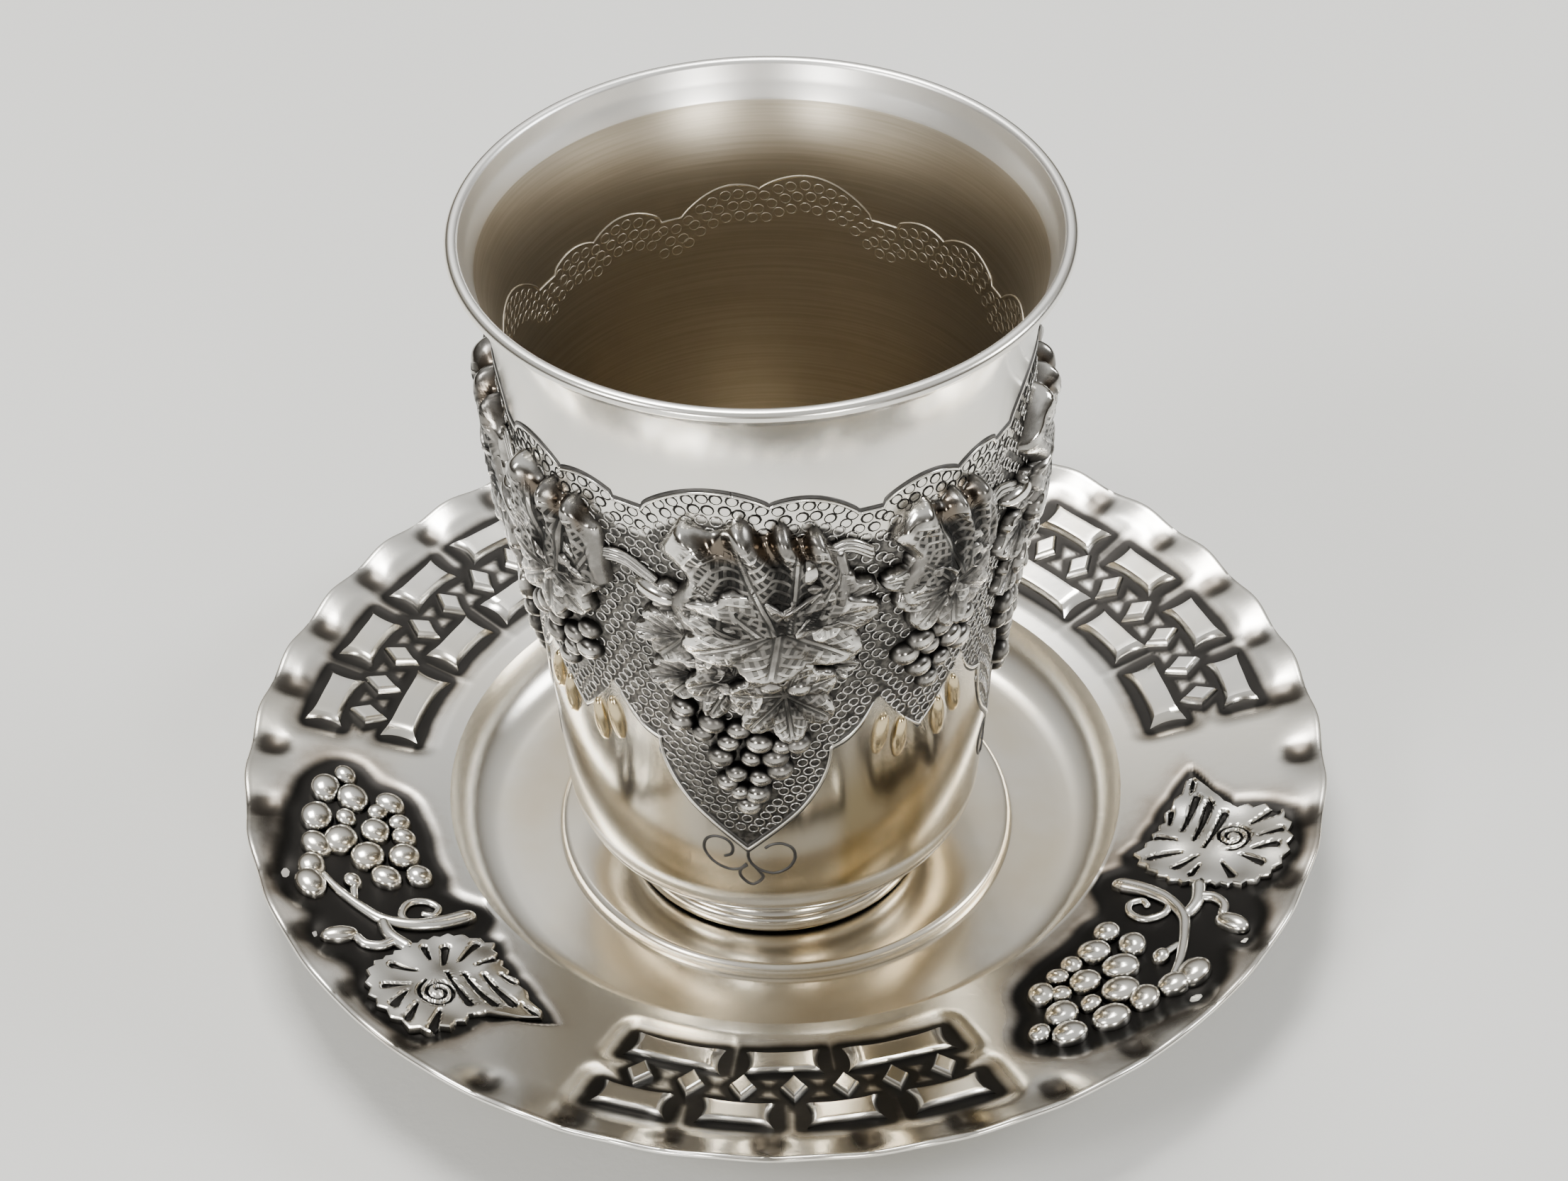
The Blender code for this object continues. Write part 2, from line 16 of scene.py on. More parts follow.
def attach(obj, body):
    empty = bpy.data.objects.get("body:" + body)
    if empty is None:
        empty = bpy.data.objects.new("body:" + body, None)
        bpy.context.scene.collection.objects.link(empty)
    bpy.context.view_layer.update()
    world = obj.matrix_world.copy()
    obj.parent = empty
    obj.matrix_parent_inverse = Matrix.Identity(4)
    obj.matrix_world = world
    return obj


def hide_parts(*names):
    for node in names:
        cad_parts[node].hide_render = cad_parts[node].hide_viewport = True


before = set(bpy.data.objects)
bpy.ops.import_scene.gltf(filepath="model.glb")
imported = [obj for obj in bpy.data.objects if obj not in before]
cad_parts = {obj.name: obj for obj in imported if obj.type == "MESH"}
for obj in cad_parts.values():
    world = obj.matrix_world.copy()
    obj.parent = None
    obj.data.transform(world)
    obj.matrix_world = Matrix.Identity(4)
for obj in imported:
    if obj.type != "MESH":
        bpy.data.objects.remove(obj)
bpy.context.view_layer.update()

MM = 0.001

# Saucer, as in the solids
SAUCER_DIAMETER = 130.0
SAUCER_SHEET = 0.8
FLOOR_RADIUS = 34.8
WELL_RADIUS = 40.7
WELL_DEPTH = 6.5
FLANGE_RISE = 5.3
SEAT_RADIUS = 26.6
SEAT_HEIGHT = 1.6
SEAT_SHOULDER = 1.1
# Scalloped edge, each scallop made of so many columns of the mesh, and its dents
SCALLOP_COUNT = 36
SCALLOP_COLUMNS = 16
SCALLOP_DEPTH = 0.26
SCALLOP_SPREAD = 0.5
SCALLOP_REACH = 6.0
SCALLOP_TURN = 7.5
DENT_DEPTH = 0.42
DENT_RADIUS = 1.8
DENT_INSET = 2.9
# Sprays and rows of strokes, turns in degrees anticlockwise from +X, and millimetres in a degree there
SPRAY_COUNT = 3
SPRAY_PITCH = 360.0 / SPRAY_COUNT
SPRAY_START = 208.0
STROKES_START = 270.0
ORNAMENT_RADIUS = 52.3
FLANGE_DEGREE = math.pi / 180.0 * ORNAMENT_RADIUS
# Depth of the blackened grounds, and of the hidden foot of the raised work
GROUND_SINK = 0.5
RELIEF_ROOT = -0.8

# Cup, as in the solids
CUP_COLUMNS = 304
CUP_HEIGHT = 88.8
CUP_WALL = 0.8
CUP_X = -1.25
CUP_Y = -4.45
SEAT_GAP = 0.3
CUP_SEAT = SAUCER_SHEET + SEAT_HEIGHT + SEAT_GAP
LIP_RADIUS = 33.3
LIP_ROLL = 0.75
LIP_FLAT = 0.045
FLARE_HEIGHT = 4.2
FLARE_POWER = 2.2
NECK_RADIUS = 28.7
NECK_HEIGHT = 73.0
WAIST_RADIUS = 24.4
WAIST_HEIGHT = 13.0
BOWL_EDGE_HEIGHT = 10.2
BOWL_EDGE_ROUND = 0.5
EDGE_BEAD = 0.45
SPOOL_TOP_RADIUS = 22.6
SPOOL_RADIUS = 16.9
SPOOL_HEIGHT = 4.2
FOOT_RADIUS = 17.9
FOOT_HEIGHT = 2.3
FOOT_WIDTH = 1.8
FOOT_RECESS = 8.6

# Belt of ornament, heights measured up from its lowest point
BELT_BASE = 20.7
BELT_HEIGHT = 55.0
BELT_RADIUS = 27.0
BELT_DEGREE = BELT_RADIUS * math.pi / 180.0
BUNCH_COUNT = 4
BUNCH_TURN = -7.0
BUNCH_PITCH = 360.0 / BUNCH_COUNT
LARGE_SWELL = 2.1
SMALL_SWELL = 1.7
BUNCH_HALF_WIDTH = 8.0
BUNCH_MIDDLE = 0.67
BUNCH_HALF_HEIGHT = 0.25
# Leaves: lift, size from which they are finely meshed, depth of the hidden foot, angle of one lobe
LEAF_LIFT = 1.0
BROAD_LEAF = 6.5
BURIED = -0.35
LOBE_PITCH = 52.0

# Leaves: turn from the bunch, height above the belt's base, size, tip's direction, base lift, width share
LARGE_LEAVES = (
    (-11.0, 34.6, 5.8, 188.0, 0.40, 0.74), (-9.5, 28.6, 5.7, 195.0, 0.25, 0.62),
    (-10.0, 39.4, 4.6, 165.0, 0.40, 0.62), (18.5, 30.3, 4.3, 342.0, 0.25, 0.62),
    (-0.5, 29.8, 7.3, 246.0, 0.50, 0.66), (10.0, 26.6, 7.4, 276.0, 0.75, 0.78),
    (18.5, 39.4, 5.6, 20.0, 0.9, 0.80), (9.0, 37.4, 7.7, 262.0, 1.15, 1.36),
)
SMALL_LEAVES = (
    (1.0, 39.4, 7.6, 166.0, 0.6, 0.66), (6.0, 39.0, 5.0, 25.0, 0.5, 0.75),
    (2.0, 37.4, 5.9, 270.0, 1.0, 1.0),
)
# Grapes: turn from the bunch, height above the belt's base
LARGE_GRAPES = (
    (-13.0, 23.1), (-14.0, 20.9), (-9.0, 19.6), (-6.5, 21.6), (-0.5, 20.9), (-3.0, 18.6), (4.0, 18.9),
    (9.0, 18.1), (12.8, 18.3), (-5.0, 16.1), (2.0, 16.2), (7.5, 16.4), (-1.5, 13.6), (4.0, 13.1),
    (8.5, 14.3), (-1.0, 10.6), (3.2, 10.4), (1.0, 8.4), (-3.9, 12.0), (7.0, 28.8), (3.8, 27.7),
    (13.0, 27.6),
)
SMALL_GRAPES = (
    (-4.0, 30.4), (1.0, 31.0), (9.0, 30.2), (-7.5, 28.9), (-1.5, 28.8), (4.5, 28.4), (-3.5, 26.0),
    (2.5, 25.6), (8.0, 27.0), (-0.5, 23.2),
)
GRAPE_RADIUS = 1.48
# Folded leaf tops: turn, root's height, height above it, reach to the left and to the right, fingers
LARGE_FAN = (9.0, 37.2, 13.6, 11.4, 6.6, 4.2)
SMALL_FAN = (4.0, 39.0, 10.8, 7.6, 5.2, 3.2)
# Polished knobs beside the large leaves: turn, height, half width, half height
KNOBS = ((-16.6, 40.3, 2.7, 1.25), (15.0, 44.6, 1.7, 2.0))
# Engraved curls and the drop below each large tip, across and up from the tip
CURLS = (
    ((-0.3, -2.2), (-1.2, -3.1), (-2.6, -3.3), (-4.4, -2.4), (-5.5, -0.6), (-5.2, 1.1), (-4.0, 1.9),
     (-2.6, 1.6), (-1.9, 0.5), (-2.1, -0.7), (-3.0, -1.2)),
    ((0.0, 0.0), (0.0, -1.2), (0.6, -2.4), (1.8, -3.3), (3.3, -3.6), (4.9, -2.8), (5.7, -1.2),
     (5.4, 0.4), (4.2, 1.3), (2.9, 1.2), (2.1, 0.6)),
    ((-0.2, -2.4), (-1.0, -3.2), (-1.1, -4.2), (-0.4, -5.2), (0.4, -5.6), (1.3, -5.0), (1.7, -4.2),
     (1.3, -3.4), (0.8, -2.6)),
)
# Hanging drops: turn from the small bunch, height, lean, then the half width and half height of each
DROPS = ((-11.5, 16.5, -8.0), (-6.0, 14.8, -4.0), (6.0, 14.8, 4.0), (11.5, 16.5, 8.0))
DROP_SIZE = (0.95, 3.3)

# Upper border's arches: first and last turn from the large bunch, start height, peak, end height
ARCHES = (
    (-19.0, 7.5, 51.5, 55.1, 53.4), (7.5, 26.0, 53.4, 53.9, 51.0), (32.0, 50.0, 51.6, 53.3, 51.7),
    (50.0, 63.5, 51.7, 52.5, 51.4),
)
ARCH_VALLEY = 50.9
# Lower border from the large bunch's tip to the small bunch's tip, cusps where the height turns
LOWER_BORDER = (
    ((0.0, 0.1), (3.6, 1.8), (8.5, 4.1), (13.8, 6.8), (17.6, 9.6), (20.0, 12.4), (20.9, 14.6),
     (21.0, 16.0)),
    ((21.0, 16.0), (25.2, 17.0), (29.4, 19.4), (32.5, 22.8)),
    ((32.5, 22.8), (35.0, 20.6), (39.0, 17.8), (42.5, 15.9), (45.0, 14.8)),
)
# Ring marks: radius, half thickness, spacing along and across the rows, room left at the two borders
RING_RADIUS = 0.6
RING_WIRE = 0.14
RING_PITCH = 1.47
RING_ROW = 1.42
RING_TOP_GAP = 1.25
RING_BOTTOM_GAP = 0.95
RING_JITTER = 0.1
RING_SEED = 5
RING_ROWS = 36
LIGHT_ROWS = 2

# Radii of the wires along the borders and of the stems between the bunches
BEAD_RADIUS = 0.23
LINE_RADIUS = 0.22
INSIDE_LINE_RADIUS = 0.18
STEM_RADIUS = 0.42
# Stems on both sides of a large bunch: turn from its middle, height above the belt's base
VINE_STEMS = (
    ((-31.0, 42.6), (-26.0, 43.0), (-21.0, 42.2), (-16.5, 41.0)),
    ((15.0, 44.5), (19.0, 46.0), (24.0, 46.6), (29.0, 45.0)),
)

# Grapes of a spray: turn from the spray's middle, radius from the saucer's axis, size
SPRAY_GRAPES = (
    (-7.6, 59.2, 2.15), (-10.4, 58.4, 1.92), (-14.0, 57.2, 2.03), (-18.8, 56.6, 2.26),
    (-24.0, 55.4, 2.15), (-26.6, 53.2, 1.58), (-14.6, 54.2, 2.37), (-18.6, 53.2, 1.47),
    (-22.4, 52.2, 2.26), (-11.2, 51.6, 2.37), (-6.8, 50.4, 2.03), (-16.0, 50.0, 2.15),
    (-19.8, 49.4, 1.47), (-21.6, 47.9, 2.03), (-10.6, 47.4, 2.26), (-6.2, 46.6, 1.92),
    (-14.6, 46.8, 1.69), (-17.6, 47.0, 1.58), (-7.0, 54.4, 1.24),
)
# Middle of the spray's leaf, and its outline about that: direction in degrees and reach
SPRAY_LEAF_AT = (12.6, 53.0)
SPRAY_LEAF_EDGE = (
    (-14.0, 14.6), (-7.0, 10.2), (7.0, 7.9), (27.0, 8.8), (48.0, 10.0), (64.0, 9.4), (93.0, 8.4),
    (124.0, 7.3), (150.0, 5.8), (180.0, 5.2), (207.0, 6.4), (240.0, 8.0), (262.0, 9.2), (280.0, 7.9),
    (306.0, 8.6), (328.0, 11.0),
)
# Dark slots in the leaf: start, end and half width
SPRAY_SLOTS = (
    (5.0, 3.6, 6.7, 6.3, 0.50), (2.9, 4.8, 4.0, 7.2, 0.38), (0.8, 4.5, 1.7, 7.0, 0.48),
    (-0.1, 3.5, -1.1, 5.9, 0.42), (-1.6, 1.5, -3.5, 3.2, 0.42), (0.6, -1.2, 6.4, 0.3, 0.42),
    (1.8, -2.7, 8.4, -1.6, 0.48), (3.4, -4.4, 9.6, -3.2, 0.45), (10.6, -3.9, 12.8, -3.7, 0.28),
    (-0.8, -1.8, -3.2, -3.6, 0.45), (-0.4, -3.8, -1.9, -7.0, 0.48), (1.6, -4.8, 1.9, -7.0, 0.42),
    (4.6, -6.0, 7.0, -6.0, 0.30), (-2.4, -1.0, -4.3, -1.4, 0.35),
)
# Spiral groove in the leaf: middle, first radius, pitch, half width
SPRAY_CURL = (2.7, 1.7, 0.5, 0.85, 0.17)
SPRAY_COILS = 2
# Stems of a spray: points of turn and radius, half width at the start and at the end
SPRAY_STEMS = (
    (((-9.5, 57.6), (-6.0, 56.4), (-2.0, 54.7), (0.8, 53.2), (3.0, 50.4), (4.0, 47.2), (4.2, 43.8)),
     0.50, 1.05),
    (((0.6, 53.4), (3.5, 53.8), (7.2, 52.8)), 0.75, 0.95),
    (((4.6, 53.6), (4.9, 55.4), (3.9, 57.0), (2.0, 57.4)), 0.75, 0.60),
    (((2.8, 50.8), (0.5, 51.0), (-1.4, 49.4), (-1.0, 47.3), (0.8, 46.5), (2.0, 47.6), (1.0, 48.8)),
     0.55, 0.45),
    (((-3.6, 55.2), (-6.6, 54.4)), 0.45, 0.60),
)
# Buds of a spray: turn, radius, half width across and up, lean
SPRAY_BUDS = ((1.4, 59.0, 1.15, 2.3, 8.0), (4.2, 44.4, 1.15, 1.5, 0.0))
# Strokes of a row: middle along the row, distance outwards, half length
STROKES = (
    (-16.3, 4.6, 4.1), (-5.6, 4.6, 4.1), (5.3, 4.6, 4.1), (16.1, 4.6, 4.3), (-14.2, -4.6, 6.2),
    (-0.9, -4.6, 5.0), (13.3, -4.6, 7.0),
)
STROKE_HALF_WIDTH = 2.05
# Diamonds between the strokes: places along the row, half width and half height
SPINDLES = (-17.0, -11.2, -5.4, 0.3, 6.0, 11.6, 17.2)
SPINDLE_HALF = (1.7, 2.6)
STROKE_TOP = 0.35


def smooth(low, high, value):
    """Smooth step from 0 at low to 1 at high."""
    share = np.clip((value - low) / (high - low), 0.0, 1.0)
    return share * share * (3.0 - 2.0 * share)


def wrap(angle, period=360.0):
    """Angle brought to plus or minus half of the period."""
    return (angle + period / 2) % period - period / 2


def turned(x, y, degrees):
    """A point turned anticlockwise about the origin."""
    cosine, sine = math.cos(math.radians(degrees)), math.sin(math.radians(degrees))
    return x * cosine - y * sine, x * sine + y * cosine


def rounded(share):
    """Height of a quarter circle, from 1 at share 0 down to 0 at share 1."""
    return np.sqrt(np.clip(1.0 - np.clip(share, 0.0, 1.0) ** 2, 0.0, 1.0))


def smooth_path(points, pieces=6):
    """Points of a curve that runs smoothly through the given ones."""
    ends = [points[0]] + list(points) + [points[-1]]
    path = []
    for index in range(1, len(ends) - 2):
        before, start, end, after = (np.array(ends[index + step]) for step in (-1, 0, 1, 2))
        for step in range(pieces):
            t = step / pieces
            square = (2 * before - 5 * start + 4 * end - after) * t ** 2
            cube = (3 * start - before - 3 * end + after) * t ** 3
            path.append(0.5 * (2 * start + (end - before) * t + square + cube))
    path.append(np.array(points[-1], dtype=float))
    return np.array(path)


def cup_radius(height):
    """Outer radius of the plain cup above its foot, at heights from the cup's base."""
    slope = (NECK_RADIUS - WAIST_RADIUS) / (NECK_HEIGHT - WAIST_HEIGHT)
    wall = WAIST_RADIUS + slope * (height - WAIST_HEIGHT)
    rise = np.clip((height - NECK_HEIGHT) / (CUP_HEIGHT - NECK_HEIGHT), 0.0, 1.0)
    straight_lip = NECK_RADIUS + slope * (CUP_HEIGHT - NECK_HEIGHT)
    wall = wall + (LIP_RADIUS - straight_lip) * rise ** FLARE_POWER
    turn = np.clip((WAIST_HEIGHT - height) / (WAIST_HEIGHT - BOWL_EDGE_HEIGHT), 0.0, 1.0)
    return wall - BOWL_EDGE_ROUND * turn ** 2


def bunch_swell(across, up, swell):
    """Swelling of the wall under one bunch, across and up in millimetres."""
    rise = (up / BELT_HEIGHT - BUNCH_MIDDLE) / BUNCH_HALF_HEIGHT
    return swell * np.exp(-(across / BUNCH_HALF_WIDTH) ** 2 - rise ** 2)


def belt_swell(turn, up):
    """Swelling of the wall at a turn in degrees from a large bunch."""
    large = bunch_swell(wrap(turn, BUNCH_PITCH) * BELT_DEGREE, up, LARGE_SWELL)
    small = bunch_swell(wrap(turn - BUNCH_PITCH / 2, BUNCH_PITCH) * BELT_DEGREE, up, SMALL_SWELL)
    return np.maximum(large, small)


def on_cup(turn, across, up, lift):
    """Points on the cup, turn in degrees from the large bunch in front, the rest in millimetres."""
    height = BELT_BASE + up
    radius = cup_radius(height) + lift
    azimuth = np.radians(turn + BUNCH_TURN) + across / BELT_RADIUS
    return np.stack([CUP_X + radius * np.sin(azimuth), CUP_Y - radius * np.cos(azimuth),
                     CUP_SEAT + height + 0.0 * azimuth], axis=-1)


def on_flange(turn, along, radius, lift):
    """Points on the saucer's flange, turn in degrees anticlockwise from +X, the rest in millimetres."""
    azimuth = np.radians(turn) + along / ORNAMENT_RADIUS
    height = flange_height(radius) + lift
    return np.stack([radius * np.cos(azimuth), radius * np.sin(azimuth), height + 0.0 * azimuth], axis=-1)


def flange_height(radius):
    """Height of the flange's plain upper surface."""
    slope = FLANGE_RISE / (SAUCER_DIAMETER / 2 - WELL_RADIUS)
    return SAUCER_SHEET + WELL_DEPTH + slope * (radius - WELL_RADIUS)


def leaf_radius(theta, size):
    """Outline of a broad five-lobed vine leaf, theta in degrees from its tip."""
    theta = wrap(theta)
    lobes = 0.79 + 0.21 * np.abs(np.cos(np.radians(theta * 180.0 / LOBE_PITCH))) ** 1.1
    notch = 1.0 - 0.5 * smooth(132.0, 180.0, np.abs(theta))
    return size * lobes * notch


@contextmanager
def editing(mesh):
    """Opens a mesh for changes and writes them back."""
    bm = bmesh.new()
    bm.from_mesh(mesh)
    yield bm
    bm.to_mesh(mesh)
    bm.free()


def in_scene(name, data):
    """New object in the scene."""
    thing = bpy.data.objects.new(name, data)
    bpy.context.scene.collection.objects.link(thing)
    return thing


def evaluated(guide):
    """Mesh of a helper object with its modifiers applied, the helper then removed."""
    graph = bpy.context.evaluated_depsgraph_get()
    mesh = bpy.data.meshes.new_from_object(guide.evaluated_get(graph))
    bpy.data.objects.remove(guide)
    return mesh


def teeth(theta, size, count, depth):
    """Small teeth of a leaf's edge, as a factor on its radius."""
    wave = np.abs(wrap(theta * count / 360.0, 1.0)) * 2.0
    return 1.0 + depth * (wave - 0.5)


def top_border(turn):
    """Height of the belt's upper border at turns measured from the large bunch."""
    turn = (np.asarray(turn, dtype=float) + 26.5) % BUNCH_PITCH - 26.5
    height = np.full_like(turn, ARCH_VALLEY)
    for start, end, first, peak, last in ARCHES:
        share = (turn - start) / (end - start)
        line = first + (last - first) * share
        arch = line + (peak - 0.5 * (first + last)) * np.sin(np.pi * np.clip(share, 0.0, 1.0)) ** 0.8
        height = np.where((share >= 0.0) & (share <= 1.0), arch, height)
    return height


def lower_border_path():
    """Turns and heights of the lower border from a large tip to the next small tip."""
    stretches = [smooth_path(stretch) for stretch in LOWER_BORDER]
    return np.concatenate([stretches[0]] + [stretch[1:] for stretch in stretches[1:]])


def bottom_border(turn):
    """Height of the belt's lower border at turns measured from the large bunch."""
    path = lower_border_path()
    turns = np.maximum.accumulate(path[:, 0])
    return np.interp(np.abs(wrap(turn, BUNCH_PITCH)), turns, path[:, 1])


def spun(profile, steps):
    """Mesh of a profile of radii and heights turned about the Z axis, closed at its ends and seam."""
    outline = bpy.data.meshes.new("outline")
    with editing(outline) as bm:
        points = [bm.verts.new((radius, 0.0, height)) for radius, height in profile]
        for pair in zip(points[:-1], points[1:]):
            bm.edges.new(pair)
    guide = in_scene("outline", outline)
    screw = guide.modifiers.new("turn", "SCREW")
    screw.steps = steps
    screw.render_steps = steps
    screw.use_merge_vertices = True
    return welded(evaluated(guide), 1e-4)


def welded(mesh, distance):
    """The mesh with points closer than a distance joined."""
    with editing(mesh) as bm:
        bmesh.ops.remove_doubles(bm, verts=bm.verts, dist=distance)
    return mesh


class Form:
    """A template mesh whose points are given new places for every copy."""

    def __init__(self, mesh):
        self.mesh = mesh
        flat = np.empty(len(mesh.vertices) * 3)
        mesh.vertices.foreach_get("co", flat)
        self.points = flat.reshape(-1, 3)
        self.rho = np.hypot(self.points[:, 0], self.points[:, 1])
        self.angle = np.degrees(np.arctan2(self.points[:, 1], self.points[:, 0]))
        self.on_top = self.points[:, 2] > 0.0

    def square(self):
        """Disc coordinates stretched to a square from -1 to 1."""
        cosine = np.cos(np.radians(self.angle))
        sine = np.sin(np.radians(self.angle))
        reach = self.rho / np.maximum(np.abs(cosine), np.abs(sine))
        return reach * cosine, reach * sine

    def ball(self):
        """Height of a half ball over the disc."""
        return rounded(self.rho)

    def ellipse(self, middle, half_across, half_up, lean=0.0):
        """Places of the disc as a leaning ellipse."""
        angle = np.radians(self.angle)
        x, y = turned(half_across * self.rho * np.cos(angle), half_up * self.rho * np.sin(angle), lean)
        return middle[0] + x, middle[1] + y


def lens(rings, spokes, crowd=1.0):
    """Closed disc of unit radius, its fine face at height 1 and a plain one at height -1."""
    shares = [(index / rings) ** crowd for index in range(rings + 1)]
    profile = [(share, 1.0) for share in shares] + [(1.0, -1.0), (0.5, -1.0), (0.0, -1.0)]
    return Form(spun(profile, spokes))


def torus(radius, wire, steps, sides):
    """Small ring template."""
    profile = [(radius + wire * math.cos(math.tau * side / sides), wire * math.sin(math.tau * side / sides))
               for side in range(sides + 1)]
    return Form(spun(profile, steps))


class Heap:
    """Gathers placed copies of forms into one mesh with named values at its points."""

    def __init__(self, *names):
        self.bm = bmesh.new()
        self.names = names
        self.places = []
        self.values = {name: [] for name in names}

    def add(self, form, points, **values):
        self.bm.from_mesh(form.mesh)
        self.keep(points, values)

    def add_many(self, form, copies, **values):
        """Place many copies of one form, the template doubled again and again to keep this quick."""
        count = len(copies)
        block = form.mesh.copy()
        while count:
            if count % 2:
                self.bm.from_mesh(block)
            with editing(block) as twice:
                twice.from_mesh(block)
            count //= 2
        self.keep(np.concatenate(copies), values)

    def keep(self, points, values):
        self.places.append(points)
        for name in self.names:
            self.values[name].append(np.broadcast_to(values.get(name, 0.0), (len(points),)))

    def finish(self, name, material, sharp=None):
        """Make the piece: points in metres, faces outwards, values stored as attributes."""
        mesh = bpy.data.meshes.new(name)
        self.bm.to_mesh(mesh)
        self.bm.free()
        mesh.vertices.foreach_set("co", (np.concatenate(self.places) * MM).ravel())
        for value_name in self.names:
            store(mesh, value_name, np.concatenate(self.values[value_name]))
        return finished(name, mesh, material, sharp)


def store(mesh, name, values):
    """Keep one number for each point of the mesh."""
    layer = mesh.attributes.new(name, "FLOAT", "POINT")
    layer.data.foreach_set("value", np.ascontiguousarray(values, dtype=np.float32))


def finished(name, mesh, material, sharp=None):
    """Object from a mesh in place: outward faces, smooth shading, riding on the model's one body."""
    with editing(mesh) as bm:
        bmesh.ops.recalc_face_normals(bm, faces=bm.faces)
    mesh.shade_smooth()
    if sharp is not None:
        mesh.set_sharp_from_angle(angle=math.radians(sharp))
    mesh.materials.append(material)
    piece = in_scene(name, mesh)
    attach(piece, "root")
    return piece


def wires(name, paths, radius, material, ends=None):
    """Round wires along paths of points in millimetres, as one mesh, tapering between two shares if given."""
    curve = bpy.data.curves.new(name, "CURVE")
    curve.dimensions = "3D"
    curve.bevel_depth = radius * MM
    curve.bevel_resolution = 1 if ends is None else 4
    curve.use_fill_caps = True
    for index, path in enumerate(paths):
        spline = curve.splines.new("POLY")
        spline.points.add(len(path) - 1)
        flat = np.concatenate([path * MM, np.ones((len(path), 1))], axis=1)
        spline.points.foreach_set("co", flat.ravel())
        if ends is not None:
            first, last = ends[index]
            share = np.linspace(0.0, 1.0, len(path))
            run = share * len(path)
            from_end = 1.0 - np.minimum(run, len(path) - run) / 4.0
            widths = (first + (last - first) * share) * rounded(from_end.clip(max=0.97))
            spline.points.foreach_set("radius", widths)
    mesh = welded(evaluated(in_scene(name, curve)), 1e-7)
    mesh.materials.clear()
    return finished(name, mesh, material)


class Value:
    """A shader socket that takes part in Python sums."""

    def __init__(self, net, socket):
        self.net = net
        self.socket = socket

    def maths(self, operation, other=None, swapped=False):
        ends = [self] if other is None else [other, self] if swapped else [self, other]
        return self.net.node("ShaderNodeMath", dict(enumerate(ends)), operation=operation)

    def __add__(self, other):
        return self.maths("ADD", other)

    def __sub__(self, other):
        return self.maths("SUBTRACT", other)

    def __rsub__(self, other):
        return self.maths("SUBTRACT", other, swapped=True)

    def __mul__(self, other):
        return self.maths("MULTIPLY", other)

    __radd__ = __add__
    __rmul__ = __mul__

    def step(self, low, high):
        """Smooth step from 0 at low to 1 at high."""
        ends = {"Value": self, "From Min": low, "From Max": high, "To Min": 0.0, "To Max": 1.0}
        return self.net.node("ShaderNodeMapRange", ends, interpolation_type="SMOOTHSTEP")


class Net:
    """Builds one material's nodes."""

    def __init__(self, name):
        self.material = bpy.data.materials.new(name)
        self.material.use_nodes = True
        self.tree = self.material.node_tree
        self.shader = self.tree.nodes["Principled BSDF"]
        self.place = self.node("ShaderNodeTexCoord", output="Object")

    def node(self, kind, inputs=None, output=0, **settings):
        node = self.tree.nodes.new(kind)
        for key, value in settings.items():
            setattr(node, key, value)
        for key, value in (inputs or {}).items():
            self.give(node.inputs[key], value)
        return Value(self, node.outputs[output])

    def give(self, socket, value):
        """Link a value to a socket, or set the socket to a number or colour."""
        if isinstance(value, Value):
            self.tree.links.new(value.socket, socket)
        elif isinstance(value, tuple) and len(value) == 3 and socket.type == "RGBA":
            socket.default_value = (*value, 1.0)
        else:
            socket.default_value = value

    def mix(self, factor, first, second):
        return self.node("ShaderNodeMix", {0: factor, 6: first, 7: second}, output=2, data_type="RGBA")

    def noise(self, scale, detail=3.0, stretch=(1.0, 1.0, 1.0), roughness=0.5):
        place = self.node("ShaderNodeMapping", {"Vector": self.place, "Scale": stretch})
        return self.node("ShaderNodeTexNoise", {"Vector": place, "Scale": scale, "Detail": detail,
                                                "Roughness": roughness})

    def attributes(self, *names):
        """Values kept at the mesh's points."""
        return [self.node("ShaderNodeAttribute", output="Fac", attribute_name=name) for name in names]

    def open_to_light(self, reach):
        """How open the surface is to its surroundings, low in cracks and under edges."""
        return self.node("ShaderNodeAmbientOcclusion", {"Distance": reach * MM}, output="AO", samples=5)

    def bump(self, height, distance):
        return self.node("ShaderNodeBump", {"Height": height, "Distance": distance * MM, "Strength": 1.0})

    def finish(self, color, roughness, metallic=1.0, normal=None):
        self.give(self.shader.inputs["Base Color"], color)
        self.give(self.shader.inputs["Roughness"], roughness)
        self.give(self.shader.inputs["Metallic"], metallic)
        if normal is not None:
            self.give(self.shader.inputs["Normal"], normal)
        return self.material


# Colours of the metal, its stains and its marks, and of the painted reflections, sheen and shade laid on it
SILVER = (0.90, 0.88, 0.83)
LIP_PAINTED_SHEEN = (0.98, 0.97, 0.94)
CHASED_BRIGHT = (0.88, 0.86, 0.81)
WARM_SILVER = (0.84, 0.78, 0.66)
SATIN = (0.54, 0.485, 0.395)
SATIN_SHADE = (0.46, 0.41, 0.32)
INSIDE_MARK = (0.50, 0.445, 0.36)
INSIDE_SHADE = (0.38, 0.335, 0.265)
WELL_REFLECTION_GOLD = (0.60, 0.49, 0.31)
BOWL_REFLECTION_GOLD = (0.40, 0.32, 0.185)
DROP_REFLECTION_GOLD = (0.66, 0.54, 0.33)
BLUSH = (0.60, 0.52, 0.43)
TARNISH = (0.23, 0.185, 0.14)
FOLD_REFLECTION_BROWN = (0.17, 0.14, 0.11)
DENT_BROWN = (0.05, 0.043, 0.036)
OXIDE = (0.018, 0.017, 0.016)
GREY_OXIDE = (0.16, 0.155, 0.15)
WORN_OXIDE = (0.22, 0.21, 0.195)
HATCH_BLACK = (0.02, 0.02, 0.019)
GROUND_BLACK = (0.05, 0.048, 0.046)
